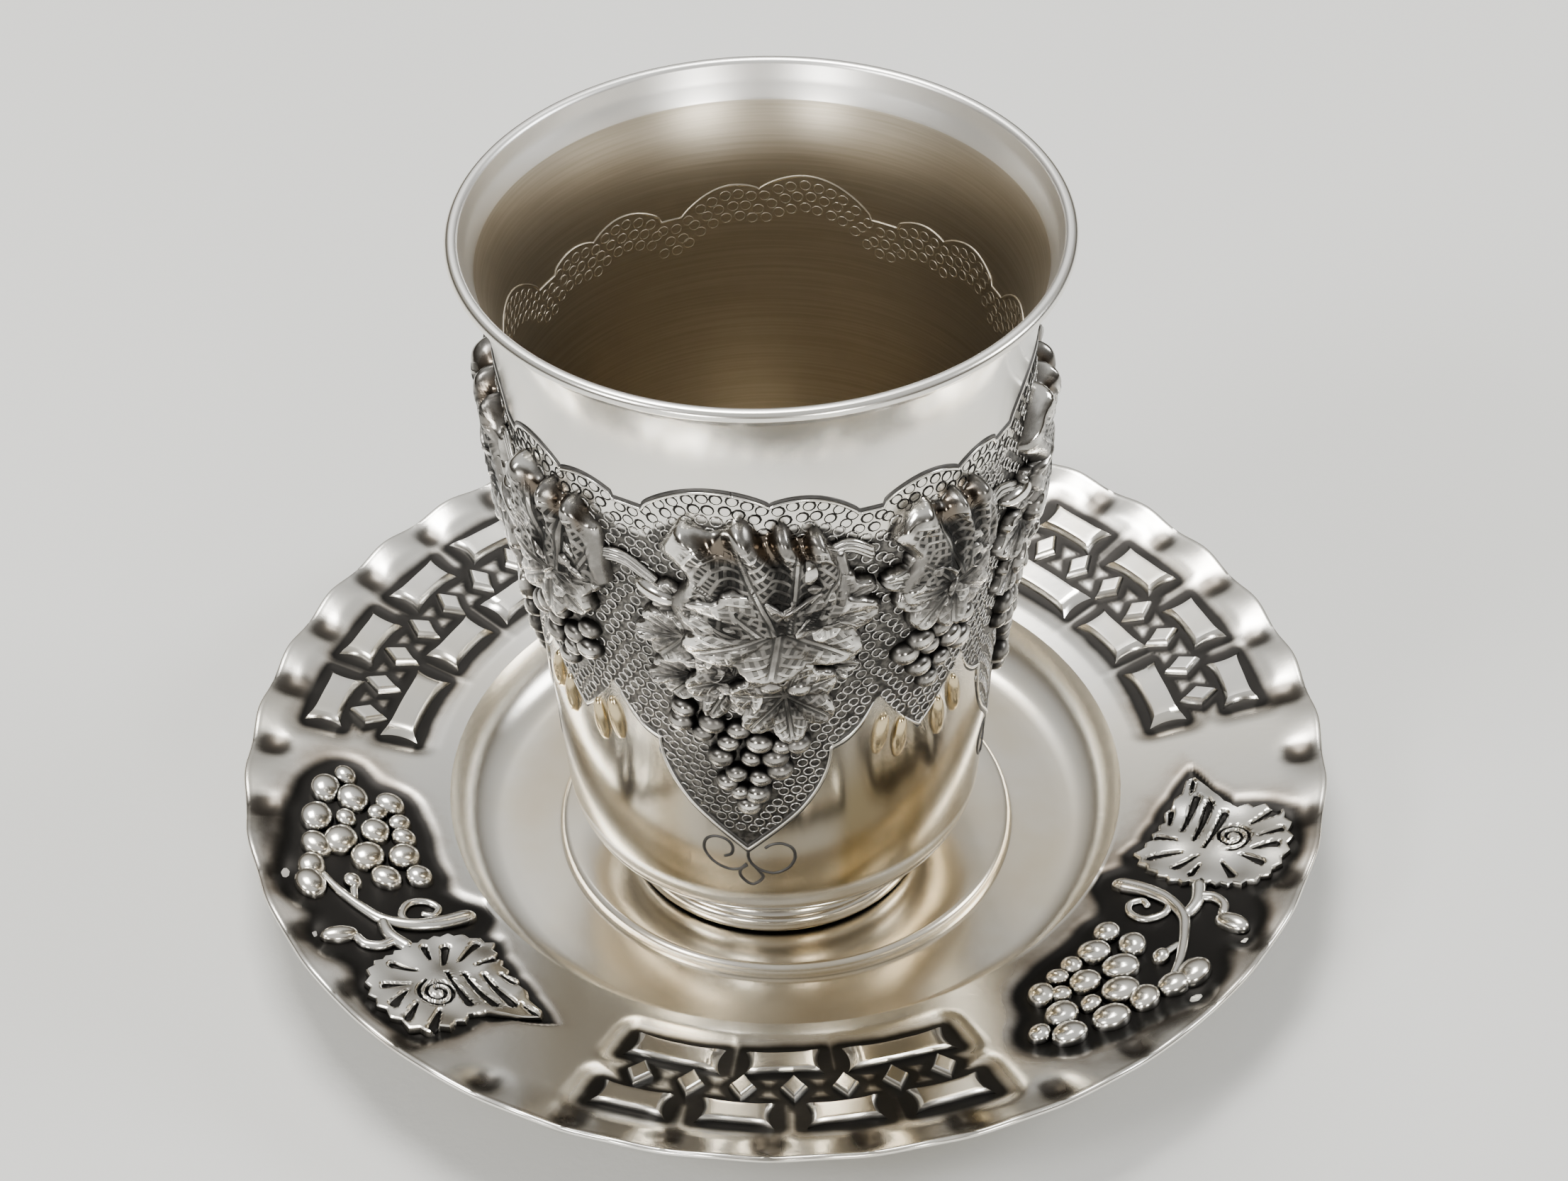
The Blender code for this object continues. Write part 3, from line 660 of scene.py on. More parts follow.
GROUND_GREY = (0.17, 0.163, 0.15)
RING_DULL = (0.38, 0.37, 0.35)
RING_BRIGHT = (0.72, 0.70, 0.66)
RING_SHADE = (0.07, 0.068, 0.064)
RING_LINE = (0.03, 0.028, 0.026)
FLOOR_SHADE = (0.62, 0.62, 0.60)
FLOOR_LIGHT = (0.68, 0.68, 0.665)


def wall_silver():
    """Polished outside, brushed satin inside, blackened ground inside the belt's borders; a painted
    gold-brown reflection streaked over the lower bowl, a painted sheen on the inner flare, and oxide with
    painted shade in the hollows.
    """
    net = Net("cup wall silver")
    within, belt, low, flare = net.attributes("inner", "ground", "low", "flare")
    inner = within.step(0.4, 0.6)
    ground = belt.step(-0.05, 0.5)
    brushing = net.noise(60.0, 4.0, (1.0, 1.0, 60.0))
    reflection_streaks = net.noise(90.0, 2.0, (1.0, 1.0, 0.04))
    patches = net.noise(45.0, 4.0)
    grain = net.noise(1400.0, 2.0)
    plain = net.mix(patches.step(0.45, 0.75) * 0.6, SILVER, WARM_SILVER)
    # Painted gold-brown reflection over the lower bowl, spool and foot, broken into upright streaks
    plain = net.mix(low * (0.55 + reflection_streaks.step(0.38, 0.62) * 0.45), plain, BOWL_REFLECTION_GOLD)
    # Painted sheen: the polished inner flare made brighter than plain silver, for the light it reflects
    plain = net.mix(flare, plain, LIP_PAINTED_SHEEN)
    satin = net.mix(brushing.step(0.3, 0.7), SATIN, SATIN_SHADE)
    color = net.mix(inner, plain, satin)
    open_air = net.open_to_light(1.0)
    sunk = net.mix(grain.step(0.35, 0.7), GROUND_BLACK, GROUND_GREY)
    color = net.mix(ground, color, sunk)
    # Closed-in places darkened towards black: oxide in the hollows and painted shade under edges and between
    # parts
    color = net.mix(open_air.step(0.20, 0.55), OXIDE, color)
    rough = 0.20 + inner * 0.13 + ground * 0.22 + flare * 0.12 - low * 0.08 + patches * 0.04
    height = brushing * (0.10 + inner) + grain * ground * 1.5
    return net.finish(color, rough, normal=net.bump(height, 0.006))


def ornament_silver():
    """Chased silver, rubbed bright on its high points and given painted highlights there, blackened by oxide
    and painted shade where it is deep, with a painted dark reflection in the rolled folds, hatched on the
    leaves.
    """
    net = Net("chased ornament silver")
    across, along, blade, high, lip = net.attributes("across", "along", "blade", "high", "lip")
    side = ((along - across * 0.55) * (math.tau / 1.3)).maths("SINE")
    rung = ((across + along * 0.3) * (math.tau / 0.75)).maths("SINE")
    beside_vein = across.step(0.26, 0.45)
    cell = side.step(0.45, -0.05) * rung.step(0.30, -0.25) * beside_vein * blade * blade
    groove = across.step(0.14, 0.24) * across.step(0.50, 0.34) * blade
    vein = across.step(0.24, 0.12) * blade
    ridge = side.step(0.3, 0.9) * beside_vein * blade
    open_air = net.open_to_light(2.2)
    grain = net.noise(700.0, 3.0)
    patches = net.noise(160.0, 2.0)
    # Rubbed high points and oxide in the hollows, together with painted highlights on rims and ridges and
    # painted shade where the surface is closed in
    wear_and_painted_light = open_air * 0.60 + high * 0.55 + (grain - 0.5) * 0.45 + (patches - 0.5) * 0.60
    wear_and_painted_light = wear_and_painted_light + vein * 0.18 + ridge * 0.12
    color = net.mix(wear_and_painted_light.step(0.54, 0.98), OXIDE, WORN_OXIDE)
    color = net.mix(wear_and_painted_light.step(0.98, 1.34), color, CHASED_BRIGHT)
    color = net.mix((cell * 0.9).maths("MAXIMUM", groove * 0.7), color, HATCH_BLACK)
    # lip: painted dark reflection on the rolled folds of the leaf tops
    color = net.mix(lip * 0.85, color, FOLD_REFLECTION_BROWN)
    rough = 0.44 - wear_and_painted_light.step(0.7, 1.2) * 0.31 + cell * 0.15 - lip * 0.28
    height = grain * 0.3 - cell * 1.4 + ridge * 0.9 + vein * 1.2 - groove * 0.8
    return net.finish(color, rough.maths("MAXIMUM", 0.12), normal=net.bump(height, 0.045))


def ring_silver():
    """Ring marks and hanging drops, dull on top and dark beside, the drops given a painted golden reflection,
    the first rows blackened lines.
    """
    net = Net("ring mark silver")
    dark, gold = net.attributes("dark", "gold")
    open_air = net.open_to_light(0.8)
    grain = net.noise(500.0, 2.0)
    tone = net.mix(net.noise(90.0, 2.0).step(0.35, 0.65), RING_DULL, RING_BRIGHT)
    # Painted golden reflection on the hanging drops
    tone = net.mix(gold, tone, DROP_REFLECTION_GOLD)
    color = net.mix((open_air + (grain - 0.5) * 0.5).step(0.40, 0.85), RING_SHADE, tone)
    color = net.mix(dark, color, RING_LINE)
    return net.finish(color, 0.38 - open_air * 0.2)


def engraved_black():
    """Blackened engraved line."""
    net = Net("blackened line")
    grain = net.noise(600.0, 2.0)
    return net.finish(net.mix(grain, OXIDE, GREY_OXIDE), 0.5)


def inside_satin():
    """Satin marks on the inside of the cup."""
    net = Net("inside mark satin")
    grain = net.noise(300.0, 2.0)
    return net.finish(net.mix(grain, INSIDE_MARK, INSIDE_SHADE), 0.38)


def saucer_silver():
    """Pressed silver sheet with blackened grounds, dark dents and light tarnish, a painted gold reflection in
    the well, and oxide with painted shade in the hollows.
    """
    net = Net("saucer silver")
    ground, halo, dent, well = net.attributes("ground", "halo", "dent", "well")
    patches = net.noise(38.0, 4.0)
    specks = net.noise(260.0, 3.0)
    grain = net.noise(1200.0, 2.0)
    ragged = (patches - 0.5) * 1.0 + (specks - 0.5) * 0.5
    plain = net.mix(patches.step(0.42, 0.72) * 0.6, SILVER, WARM_SILVER)
    # Painted gold reflection of the cup's bowl over the well and seat
    plain = net.mix(well * (0.25 + patches.step(0.3, 0.7) * 0.4), plain, WELL_REFLECTION_GOLD)
    color = net.mix((halo + ragged * 1.4).step(0.3, 1.2) * 0.5, plain, BLUSH)
    stained = halo.maths("MAXIMUM", dent)
    brown = (stained + ragged * 1.3).step(0.55, 1.3)
    color = net.mix(brown * 0.9, color, TARNISH)
    color = net.mix((dent + ragged * 0.7).step(0.20, 0.90) * 0.9, color, DENT_BROWN)
    color = net.mix((ground + ragged * 0.4).step(0.20, 0.90), color, OXIDE)
    open_air = net.open_to_light(1.2)
    # Closed-in places darkened towards black: oxide in the hollows and painted shade under the cup's foot and
    # beside the raised work
    color = net.mix(open_air.step(0.25, 0.65), OXIDE, color)
    rough = 0.20 + ground * 0.14 + brown * 0.10 + patches * 0.06
    return net.finish(color, rough, normal=net.bump(grain + specks * 0.6, 0.006))


def raised_silver():
    """Polished raised work on the saucer, black in its slots, and black at its foot from oxide and painted
    shade.
    """
    net = Net("raised saucer silver")
    slot = net.attributes("slot")[0].step(0.38, 0.58)
    open_air = net.open_to_light(1.4)
    patches = net.noise(80.0, 3.0)
    grain = net.noise(800.0, 2.0)
    # Closed-in places darkened towards black: oxide in the hollows and painted shade at the foot
    wear_and_painted_light = open_air + (grain - 0.5) * 0.2
    bright = net.mix(patches.step(0.4, 0.7) * 0.6, SILVER, WARM_SILVER)
    color = net.mix(wear_and_painted_light.step(0.34, 0.74), OXIDE, bright)
    color = net.mix(slot, color, OXIDE)
    rough = 0.17 + slot * 0.3 + patches * 0.06
    return net.finish(color, rough, normal=net.bump(grain, 0.006))


def spool_point(share, inset):
    """Point on the concave spool between the foot and the bowl, moved in by an inset."""
    angle = share * math.pi / 2
    width = SPOOL_TOP_RADIUS - SPOOL_RADIUS
    rise = BOWL_EDGE_HEIGHT - 2 * EDGE_BEAD - SPOOL_HEIGHT
    return SPOOL_RADIUS + width * (1.0 - math.cos(angle)) - inset, SPOOL_HEIGHT + rise * math.sin(angle)


def arc(middle_radius, middle_height, radius_across, radius_up, start, end, count):
    """Profile points along an arc, angles in degrees from the outward direction."""
    angles = [math.radians(start + (end - start) * step / (count - 1)) for step in range(count)]
    return [(middle_radius + radius_across * math.cos(angle), middle_height + radius_up * math.sin(angle))
            for angle in angles]


def wall_points(first, last, step, inset=0.0):
    """Profile points on the plain wall between two heights, moved in by an inset."""
    return [(cup_radius(height) - inset, height) for height in np.arange(first, last, step)]


def cup_profile():
    """Profile of the cup from the middle of its inner floor, over the lip, to the foot's recess."""
    floor = FOOT_RECESS + CUP_WALL
    top = CUP_HEIGHT - LIP_ROLL
    inside = WAIST_RADIUS - CUP_WALL
    inner = [(share * (inside - 2.8), floor) for share in (0.0, 0.2, 0.5, 0.8)]
    inner += arc(inside - 2.6, floor + 2.6, 2.6, 2.6, -90.0, 0.0, 7)
    inner += wall_points(floor + 3.6, NECK_HEIGHT, 2.0, CUP_WALL)
    inner += wall_points(NECK_HEIGHT, top - 0.6, 0.7, CUP_WALL)
    lip = arc(LIP_RADIUS - LIP_ROLL, top, LIP_ROLL, LIP_ROLL, 165.0, -60.0, 14)
    flare = wall_points(top - 1.0, NECK_HEIGHT + 2.9, -0.7)
    belt = wall_points(NECK_HEIGHT + 2.9, BELT_BASE - 1.0, -0.6)
    low = wall_points(BELT_BASE - 1.4, BOWL_EDGE_HEIGHT + 0.4, -0.7)
    edge = cup_radius(BOWL_EDGE_HEIGHT)
    low += arc(edge - 0.35, BOWL_EDGE_HEIGHT + 0.3, 0.35, 0.35, 0.0, -80.0, 5)
    low += arc(edge - 0.65, BOWL_EDGE_HEIGHT - EDGE_BEAD, 0.4, 0.36, 80.0, -80.0, 7)
    spool = [spool_point(1.0 - step / 12, 0.0) for step in range(13)]
    roll = FOOT_HEIGHT / 2
    foot = arc(FOOT_RADIUS - roll * 0.7, roll, roll * 0.7, roll, 90.0, -90.0, 12)
    recess = [spool_point(share, CUP_WALL) for share in (0.0, 0.15, 0.3)]
    under = spool_point(0.65, CUP_WALL)[0]
    hollow = [(FOOT_RADIUS - FOOT_WIDTH, 0.0)] + recess + [(under, FOOT_RECESS), (0.0, FOOT_RECESS)]
    return inner + lip + flare + belt + low + spool + foot + hollow


def make_cup_wall(material):
    """The cup itself: lip, wall with its swellings, bowl's edge, spool and foot."""
    form = Form(spun(cup_profile(), CUP_COLUMNS))
    x, y, height = form.points.T
    radius = form.rho
    turn = np.degrees(np.arctan2(x, -y)) - BUNCH_TURN
    up = height - BELT_BASE
    outside = (radius > cup_radius(height) - 0.5 * CUP_WALL) & (height > WAIST_HEIGHT)
    lift = np.where(outside, belt_swell(turn, up), 0.0)
    border = np.minimum(top_border(turn) - up - 1.0 - LIGHT_ROWS * RING_ROW, up - bottom_border(turn))
    in_belt = np.where(outside, np.clip(border, -2.0, 2.0), -2.0)
    shift = np.array([CUP_X, CUP_Y, CUP_SEAT])
    scale = 1.0 + lift / np.maximum(radius, 1.0)
    points = np.stack([x * scale, y * scale, np.minimum(height, CUP_HEIGHT - LIP_FLAT)], axis=-1) + shift
    within = (radius < cup_radius(height) - 0.5 * CUP_WALL) & (height > FOOT_RECESS + 0.5 * CUP_WALL)
    flare = CUP_HEIGHT - FLARE_HEIGHT
    inner = np.where(within, smooth(flare + 0.4, flare - 0.4, height), 0.0)
    # bright: mask of the painted sheen on the inner flare
    bright = within * smooth(flare - 0.2, flare + 0.4, height)
    # low: mask of the painted gold-brown reflection, full on the lower bowl, fading up the belt, 0.6 on the
    # spool and foot
    low = np.where(outside, smooth(BELT_BASE + 30.0, BELT_BASE + 6.0, height), 0.6 * (height < WAIST_HEIGHT))
    heap = Heap("inner", "ground", "low", "flare")
    heap.add(form, points, inner=inner, ground=in_belt, low=low, flare=bright)
    piece = heap.finish("cup_wall", material)
    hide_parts("cup")


def bunches():
    """Every bunch of the belt: its turn, leaves, grapes, fan and swelling."""
    for index in range(BUNCH_COUNT):
        turn = index * BUNCH_PITCH
        yield turn, LARGE_LEAVES, LARGE_GRAPES, LARGE_FAN, LARGE_SWELL
        yield turn + BUNCH_PITCH / 2, SMALL_LEAVES, SMALL_GRAPES, SMALL_FAN, SMALL_SWELL


def leaf_points(form, size, tip, width):
    """Local places of a leaf, its relief, and the distances across and along its nearest main vein."""
    outline = leaf_radius(form.angle, size) * teeth(form.angle, size, 43, 0.04)
    far = form.rho * outline
    lobe = wrap(form.angle, LOBE_PITCH)
    across = np.abs(far * np.sin(np.radians(lobe)))
    along = far * np.cos(np.radians(lobe))
    share = np.clip(np.abs(lobe) / (LOBE_PITCH / 2), 0.0, 1.0)
    pillow = np.sin(np.pi * share ** 0.8) * smooth(0.05, 0.55, form.rho)
    ruffle = np.cos(np.radians(form.angle * 6.0 + size * 50.0)) * form.rho ** 3
    roll = 1.0 - rounded((form.rho - 0.91) / 0.09)
    relief = 0.50 * pillow * (1.0 - 0.4 * form.rho) + 0.32 * ruffle + 0.70 * form.rho ** 2 - 1.0 * roll
    direction = np.radians(form.angle)
    x, y = turned(far * np.cos(direction), width * far * np.sin(direction), tip)
    return x, y, relief, across, along


def make_cup_leaves(material):
    """Vine leaves of every bunch, one piece for the large bunches and one for the small."""
    large_form = lens(22, 128, 0.85)
    small_form = lens(15, 100, 0.85)
    heaps = {swell: Heap("across", "along", "blade", "high") for swell in (LARGE_SWELL, SMALL_SWELL)}
    for turn, leaves, _, _, swell in bunches():
        for turn_at, up_at, size, tip, base, width in leaves:
            form = large_form if size > BROAD_LEAF else small_form
            x, y, relief, across, along = leaf_points(form, size, tip, width)
            x, y = turn_at * BELT_DEGREE + x, up_at + y
            lift = np.where(form.on_top, bunch_swell(x, y, swell) + base * LEAF_LIFT + relief, BURIED)
            # high: lighter towards the raised rim and darker at the middle, rubbed high points with painted
            # highlight and shade
            high = 0.10 + 0.62 * smooth(0.25, 0.95, form.rho) + 0.35 * relief
            hatch = 0.8 if size > BROAD_LEAF else 0.62
            heaps[swell].add(form, on_cup(turn, x, y, lift), across=across, along=along,
                             blade=form.on_top * hatch * smooth(0.90, 0.84, form.rho),
                             high=np.clip(high, 0.0, 1.1) * form.on_top)
    for swell, name in ((LARGE_SWELL, "large_bunch_leaves"), (SMALL_SWELL, "small_bunch_leaves")):
        heaps[swell].finish(name, material)


def make_cup_fans(material):
    """Upper halves of the large leaves, hatched and folded into fingers, rolled over at the top."""
    form = lens(29, 144)
    knob = lens(9, 26)
    p, q = form.square()
    heap = Heap("across", "along", "blade", "high", "lip")
    share = np.clip((p + 1.0) / 2, 0.0, 1.0)
    rise = np.clip((q + 1.0) / 2, 0.0, 1.0)
    edge = rounded((np.abs(p) - 0.84) / 0.16) * rounded((q - 0.72) / 0.28)
    for turn, _, _, (turn_at, root, tall, left, right, fingers), swell in bunches():
        phase = fingers * share ** 1.25 + 0.10 * np.sin(9.0 * share + turn)
        finger = 0.5 - 0.5 * np.cos(math.tau * phase)
        spread = 0.84 + 0.12 * rise ** 2 + 0.09 * np.sin(8.0 * rise + turn)
        x = share * right * (1.2 - 0.2 * rise) - (1.0 - share) * left * spread
        top = 0.90 + 0.14 * finger + 0.05 * np.sin(5.0 * share + turn) - 0.22 * np.abs(p) ** 4
        y = tall * rise * (1.0 + (top - 1.0) * rise)
        beam = np.degrees(np.arctan2(x, y + 3.0)) + 7.0 * np.sin(2.2 * rise)
        nearest = wrap(beam + 8.0, 23.0)
        far = np.hypot(x, y + 3.0)
        roll = rounded(np.abs(rise - 0.86) / 0.16) * (0.15 + 0.85 * finger)
        crease = np.cos(math.tau * (2.3 * phase + 0.8 * rise))
        lift = 1.75 - 1.15 * rise + 1.25 * finger ** 0.8 * smooth(0.05, 0.75, rise)
        lift = lift + 0.12 * crease + 0.55 * roll
        lift += 0.40 * smooth(0.70, 0.85, np.abs(p)) * smooth(0.05, 0.3, rise)
        x_at = turn_at * BELT_DEGREE + x
        lift = np.where(form.on_top, bunch_swell(x_at, root + y, swell) + lift * edge, BURIED)
        # bright: painted highlight along the side rims and the upper left edge
        bright = np.maximum(smooth(0.74, 0.86, np.abs(p)), smooth(0.84, 0.94, q) * (p < -0.1))
        # high: finger ridges, rims and roll lighter and the root darker, rubbed high points with painted
        # highlight and shade
        high = 0.12 + 0.62 * finger + 0.65 * bright - 0.30 * smooth(0.7, 0.15, rise) + 0.2 * roll
        # Painted dark reflection on the rolled top, kept off the bright rims and finger ridges
        painted_fold_reflection = smooth(0.70, 0.84, rise) * (1.0 - bright) * (1.0 - smooth(0.35, 0.80, finger))
        blade = smooth(0.88, 0.78, rise) * smooth(0.86, 0.78, np.abs(p))
        heap.add(form, on_cup(turn, x_at, root + y, lift), across=np.abs(np.radians(nearest) * far),
                 along=far, blade=form.on_top * blade, high=form.on_top * high, lip=form.on_top * painted_fold_reflection)
    for index in range(BUNCH_COUNT):
        for turn_at, up_at, wide, high_half in KNOBS:
            x, y = knob.ellipse((turn_at * BELT_DEGREE, up_at), wide, high_half, -8.0)
            lift = np.where(knob.on_top, 0.3 + bunch_swell(x, y, LARGE_SWELL) + 1.5 * knob.ball(), BURIED)
            # Knobs lighter all over: polished, with a painted highlight
            heap.add(knob, on_cup(index * BUNCH_PITCH, x, y, lift), high=knob.on_top * 1.3)
    heap.finish("folded_leaf_tops", material)


def make_cup_grapes(material):
    """Grapes of every bunch as small full domes."""
    form = lens(7, 18)
    heap = Heap("across", "along", "blade", "high")
    ball = form.ball()
    for turn, _, grapes, _, swell in bunches():
        for index, (turn_at, up_at) in enumerate(grapes):
            size = GRAPE_RADIUS * (1.0 + 0.12 * math.sin(index * 2.4 + turn))
            middle = (turn_at * BELT_DEGREE, up_at)
            x, y = form.ellipse(middle, size * 1.04, size * 0.96, 25.0 * math.sin(index * 1.7))
            lift = 0.8 * bunch_swell(*middle, swell) + 0.30 + 1.35 * size / GRAPE_RADIUS * ball
            lift = np.where(form.on_top, lift, BURIED)
            # high: tops lighter than the sides, rubbed high points with a painted highlight
            heap.add(form, on_cup(turn, x, y, lift), high=form.on_top * ball)
    heap.finish("cup_grapes", material)


def make_cup_drops(material):
    """Hanging drops under the small bunches."""
    form = lens(8, 24)
    heap = Heap("gold")
    wide, tall = DROP_SIZE
    for index in range(BUNCH_COUNT):
        for turn_at, up_at, lean in DROPS:
            x, y = form.ellipse((turn_at * BELT_DEGREE, up_at), wide, tall, lean)
            lift = np.where(form.on_top, 0.1 + 0.95 * form.ball(), BURIED)
            # Every drop given the painted golden reflection
            heap.add(form, on_cup((index + 0.5) * BUNCH_PITCH, x, y, lift), gold=1.0)
    heap.finish("hanging_drops", material)


def joined(distances, blend):
    """Distance to several shapes run smoothly together."""
    return -np.log(sum(np.exp(-np.clip(distance, -20.0, 60.0) * blend) for distance in distances)) / blend


def covered(turn, up):
    """Whether a point of the belt lies under a leaf or grape."""
    kinds = ((0.0, LARGE_LEAVES, LARGE_GRAPES), (BUNCH_PITCH / 2, SMALL_LEAVES, SMALL_GRAPES))
    for middle, leaves, grapes in kinds:
        x = wrap(turn - middle, BUNCH_PITCH) * BELT_DEGREE
        for turn_at, up_at, size, tip, _, width in leaves:
            forward, sideways = turned(x - turn_at * BELT_DEGREE, up - up_at, -tip)
            sideways /= width
            theta = math.degrees(math.atan2(sideways, forward))
            if math.hypot(forward, sideways) < leaf_radius(theta, size) + 0.1:
                return True
        for turn_at, up_at in grapes:
            if math.hypot(x - turn_at * BELT_DEGREE, up - up_at) < GRAPE_RADIUS + 0.35:
                return True
    return False


def ring_places():
    """Rows, turns and heights of the ring marks, in slightly uneven rows that follow the upper border."""
    columns = round(360.0 * BELT_DEGREE / RING_PITCH / BUNCH_COUNT) * BUNCH_COUNT
    chance = np.random.default_rng(RING_SEED)
    for row in range(RING_ROWS):
        for column in range(columns):
            uneven_turn, uneven_up = chance.uniform(-RING_JITTER, RING_JITTER, 2)
            turn = (column + 0.5 * (row % 2)) * 360.0 / columns + uneven_turn / BELT_DEGREE
            up = float(top_border(turn)) - RING_TOP_GAP - row * RING_ROW + uneven_up
            if up - float(bottom_border(turn)) < RING_BOTTOM_GAP or covered(turn, up):
                continue
            yield row, turn, up


def make_ring_marks(material, inside_material):
    """Ring marks punched over the belt's ground, and the first rows showing through inside."""
    form = torus(RING_RADIUS, RING_WIRE, 10, 4)
    x, y, z = form.points.T
    copies = []
    dark = []
    inner = []
    for row, turn, up in ring_places():
        lift = float(belt_swell(turn, up))
        sunk = 0.04 if row < LIGHT_ROWS else 0.0
        copies.append(on_cup(turn, x, up + y, lift + z - sunk))
        dark.append(np.full(len(x), float(row < LIGHT_ROWS)))
        if row <= LIGHT_ROWS:
            inner.append(on_cup(turn, x, up + y, -CUP_WALL + 0.07 - z))
    heap = Heap("dark")
    heap.add_many(form, copies, dark=np.concatenate(dark))
    heap.finish("ring_marks", material)
    inside = Heap()
    inside.add_many(form, inner)
    inside.finish("inside_ring_marks", inside_material)


def belt_paths(offset_up, lift, swelling=1.0):
    """The whole upper border as one closed path."""
    turns = np.linspace(0.0, 360.0, 721)
    up = top_border(turns) + offset_up
    return [on_cup(turns, 0.0, up, lift + swelling * belt_swell(turns, up))]


def make_borders(bright, black, satin):
    """Bead and engraved lines of the borders, the curls under each tip, and the lines seen inside."""
    tips = lower_border_path()
    beads = belt_paths(-0.45, -0.04)
    lines = belt_paths(0.0, -0.05)
    for index in range(BUNCH_COUNT):
        turn = index * BUNCH_PITCH
        for side in (-1.0, 1.0):
            turns = turn + side * tips[:, 0]
            beads.append(on_cup(turns, 0.0, tips[:, 1] + 0.34, 0.07))
            lines.append(on_cup(turns, 0.0, tips[:, 1] - 0.10, -0.05))
            lines.append(on_cup(turns, 0.0, tips[:, 1] + 0.80, -0.05))
        for curl in CURLS:
            path = smooth_path(curl)
            lines.append(on_cup(turn, path[:, 0], path[:, 1], -0.07))
    wires("border_beads", beads, BEAD_RADIUS, bright)
    wires("engraved_lines", lines, LINE_RADIUS, black)
    inside = belt_paths(0.0, -CUP_WALL + 0.04, 0.0)
    wires("inside_border", inside, INSIDE_LINE_RADIUS, satin)


def make_branches(material):
    """Woody stems that join the bunches, each of three strands."""
    paths = []
    for index in range(BUNCH_COUNT):
        turn = index * BUNCH_PITCH
        for points in VINE_STEMS:
            path = smooth_path(points)
            for step in (-0.45, 0.0, 0.45):
                lift = belt_swell(path[:, 0], path[:, 1]) + 0.45 - abs(step) * 0.4
                paths.append(on_cup(turn + path[:, 0], 0.0, path[:, 1] + step * 1.2, lift))
    wires("vine_stems", paths, STEM_RADIUS, material)


def spray_leaf_edge(direction):
    """Reach of the spray's leaf in a direction in degrees."""
    directions, reaches = np.array(SPRAY_LEAF_EDGE).T
    return np.interp(direction, directions, reaches, period=360.0)


def spray_distance(turn, radius):
    """Distance in millimetres to the outline of a spray, its parts run together, negative inside it."""
    along = turn * FLANGE_DEGREE
    near = [np.hypot(along - turn_at * FLANGE_DEGREE, radius - radius_at) - size
            for turn_at, radius_at, size in SPRAY_GRAPES]
    dx, dy = along - SPRAY_LEAF_AT[0] * FLANGE_DEGREE, radius - SPRAY_LEAF_AT[1]
    near.append(np.hypot(dx, dy) - spray_leaf_edge(np.degrees(np.arctan2(dy, dx))))
    for path, first, last in spray_stems():
        near += [np.hypot(along - point[0], radius - point[1]) - max(first, last) for point in path[::8]]
    for turn_at, radius_at, _, half_up, _ in SPRAY_BUDS:
        near.append(np.hypot(along - turn_at * FLANGE_DEGREE, radius - radius_at) - half_up)
    return joined(near, 0.9) + 0.4


def stroke_distance(turn, radius):
    """Distance in millimetres to the nearest stroke of a row, negative inside it."""
    along = turn * FLANGE_DEGREE
    across = radius - ORNAMENT_RADIUS
    near = np.full_like(along, 99.0)
    for mid, side, half_length in STROKES:
        dx = np.abs(along - mid) - half_length
        dy = np.abs(across - side) - STROKE_HALF_WIDTH
        outside = np.hypot(np.maximum(dx, 0.0), np.maximum(dy, 0.0))
        near = np.minimum(near, outside + np.minimum(np.maximum(dx, dy), 0.0))
    narrow, tall = SPINDLE_HALF
    for mid in SPINDLES:
        diamond = np.abs(along - mid) / narrow + np.abs(across) / tall - 1.0
        near = np.minimum(near, diamond * narrow * 0.8)
    return near


def saucer_top(radius):
    """Height of the saucer's upper surface at a radius."""
    floor = SAUCER_SHEET
    if radius <= SEAT_RADIUS:
        return floor + SEAT_HEIGHT
    if radius <= SEAT_RADIUS + SEAT_SHOULDER:
        share = (radius - SEAT_RADIUS) / SEAT_SHOULDER
        return floor + SEAT_HEIGHT * math.sqrt(max(0.0, 1.0 - share ** 2))
    if radius <= FLOOR_RADIUS:
        return floor
    if radius <= WELL_RADIUS:
        share = (radius - FLOOR_RADIUS) / (WELL_RADIUS - FLOOR_RADIUS)
        return floor + WELL_DEPTH * (1.0 - math.sqrt(1.0 - 0.98 * share ** 2)) / (1.0 - math.sqrt(0.02))
    return float(flange_height(radius))


def saucer_profile():
    """Profile of the saucer from the middle of its top, round the edge, to the middle below."""
    edge = SAUCER_DIAMETER / 2
    shoulder = [SEAT_RADIUS + SEAT_SHOULDER * math.sin(math.radians(step)) for step in range(0, 91, 10)]
    sines = [math.sin(math.radians(step)) for step in range(0, 91, 7)]
    cove = [FLOOR_RADIUS + (WELL_RADIUS - FLOOR_RADIUS) * sine for sine in sines]
    radii = [0.0, 8.0, 16.0, 22.0, 25.0] + shoulder + [29.0, 31.0, 33.0] + cove + [WELL_RADIUS]
    top = [(radius, saucer_top(radius)) for radius in radii]
    flange = np.arange(WELL_RADIUS + 0.45, edge - 0.3, 0.38)
    top += [(radius, saucer_top(radius)) for radius in flange]
    rim = arc(edge - 0.4, saucer_top(edge) - 0.4, 0.4, 0.4, 80.0, -80.0, 6)
    under_flange = np.arange(edge - 1.5, WELL_RADIUS + 1.0, -1.6)
    below = [(radius, saucer_top(radius) - SAUCER_SHEET) for radius in under_flange]
    inset = SAUCER_SHEET * 0.6
    below += [(radius + inset, saucer_top(radius) - SAUCER_SHEET) for radius in reversed(cove[1:])]
    below += [(FLOOR_RADIUS, 0.0), (SEAT_RADIUS + SEAT_SHOULDER, 0.0), (SEAT_RADIUS - 0.2, SEAT_HEIGHT)]
    return top + rim + below + [(0.0, SEAT_HEIGHT)]


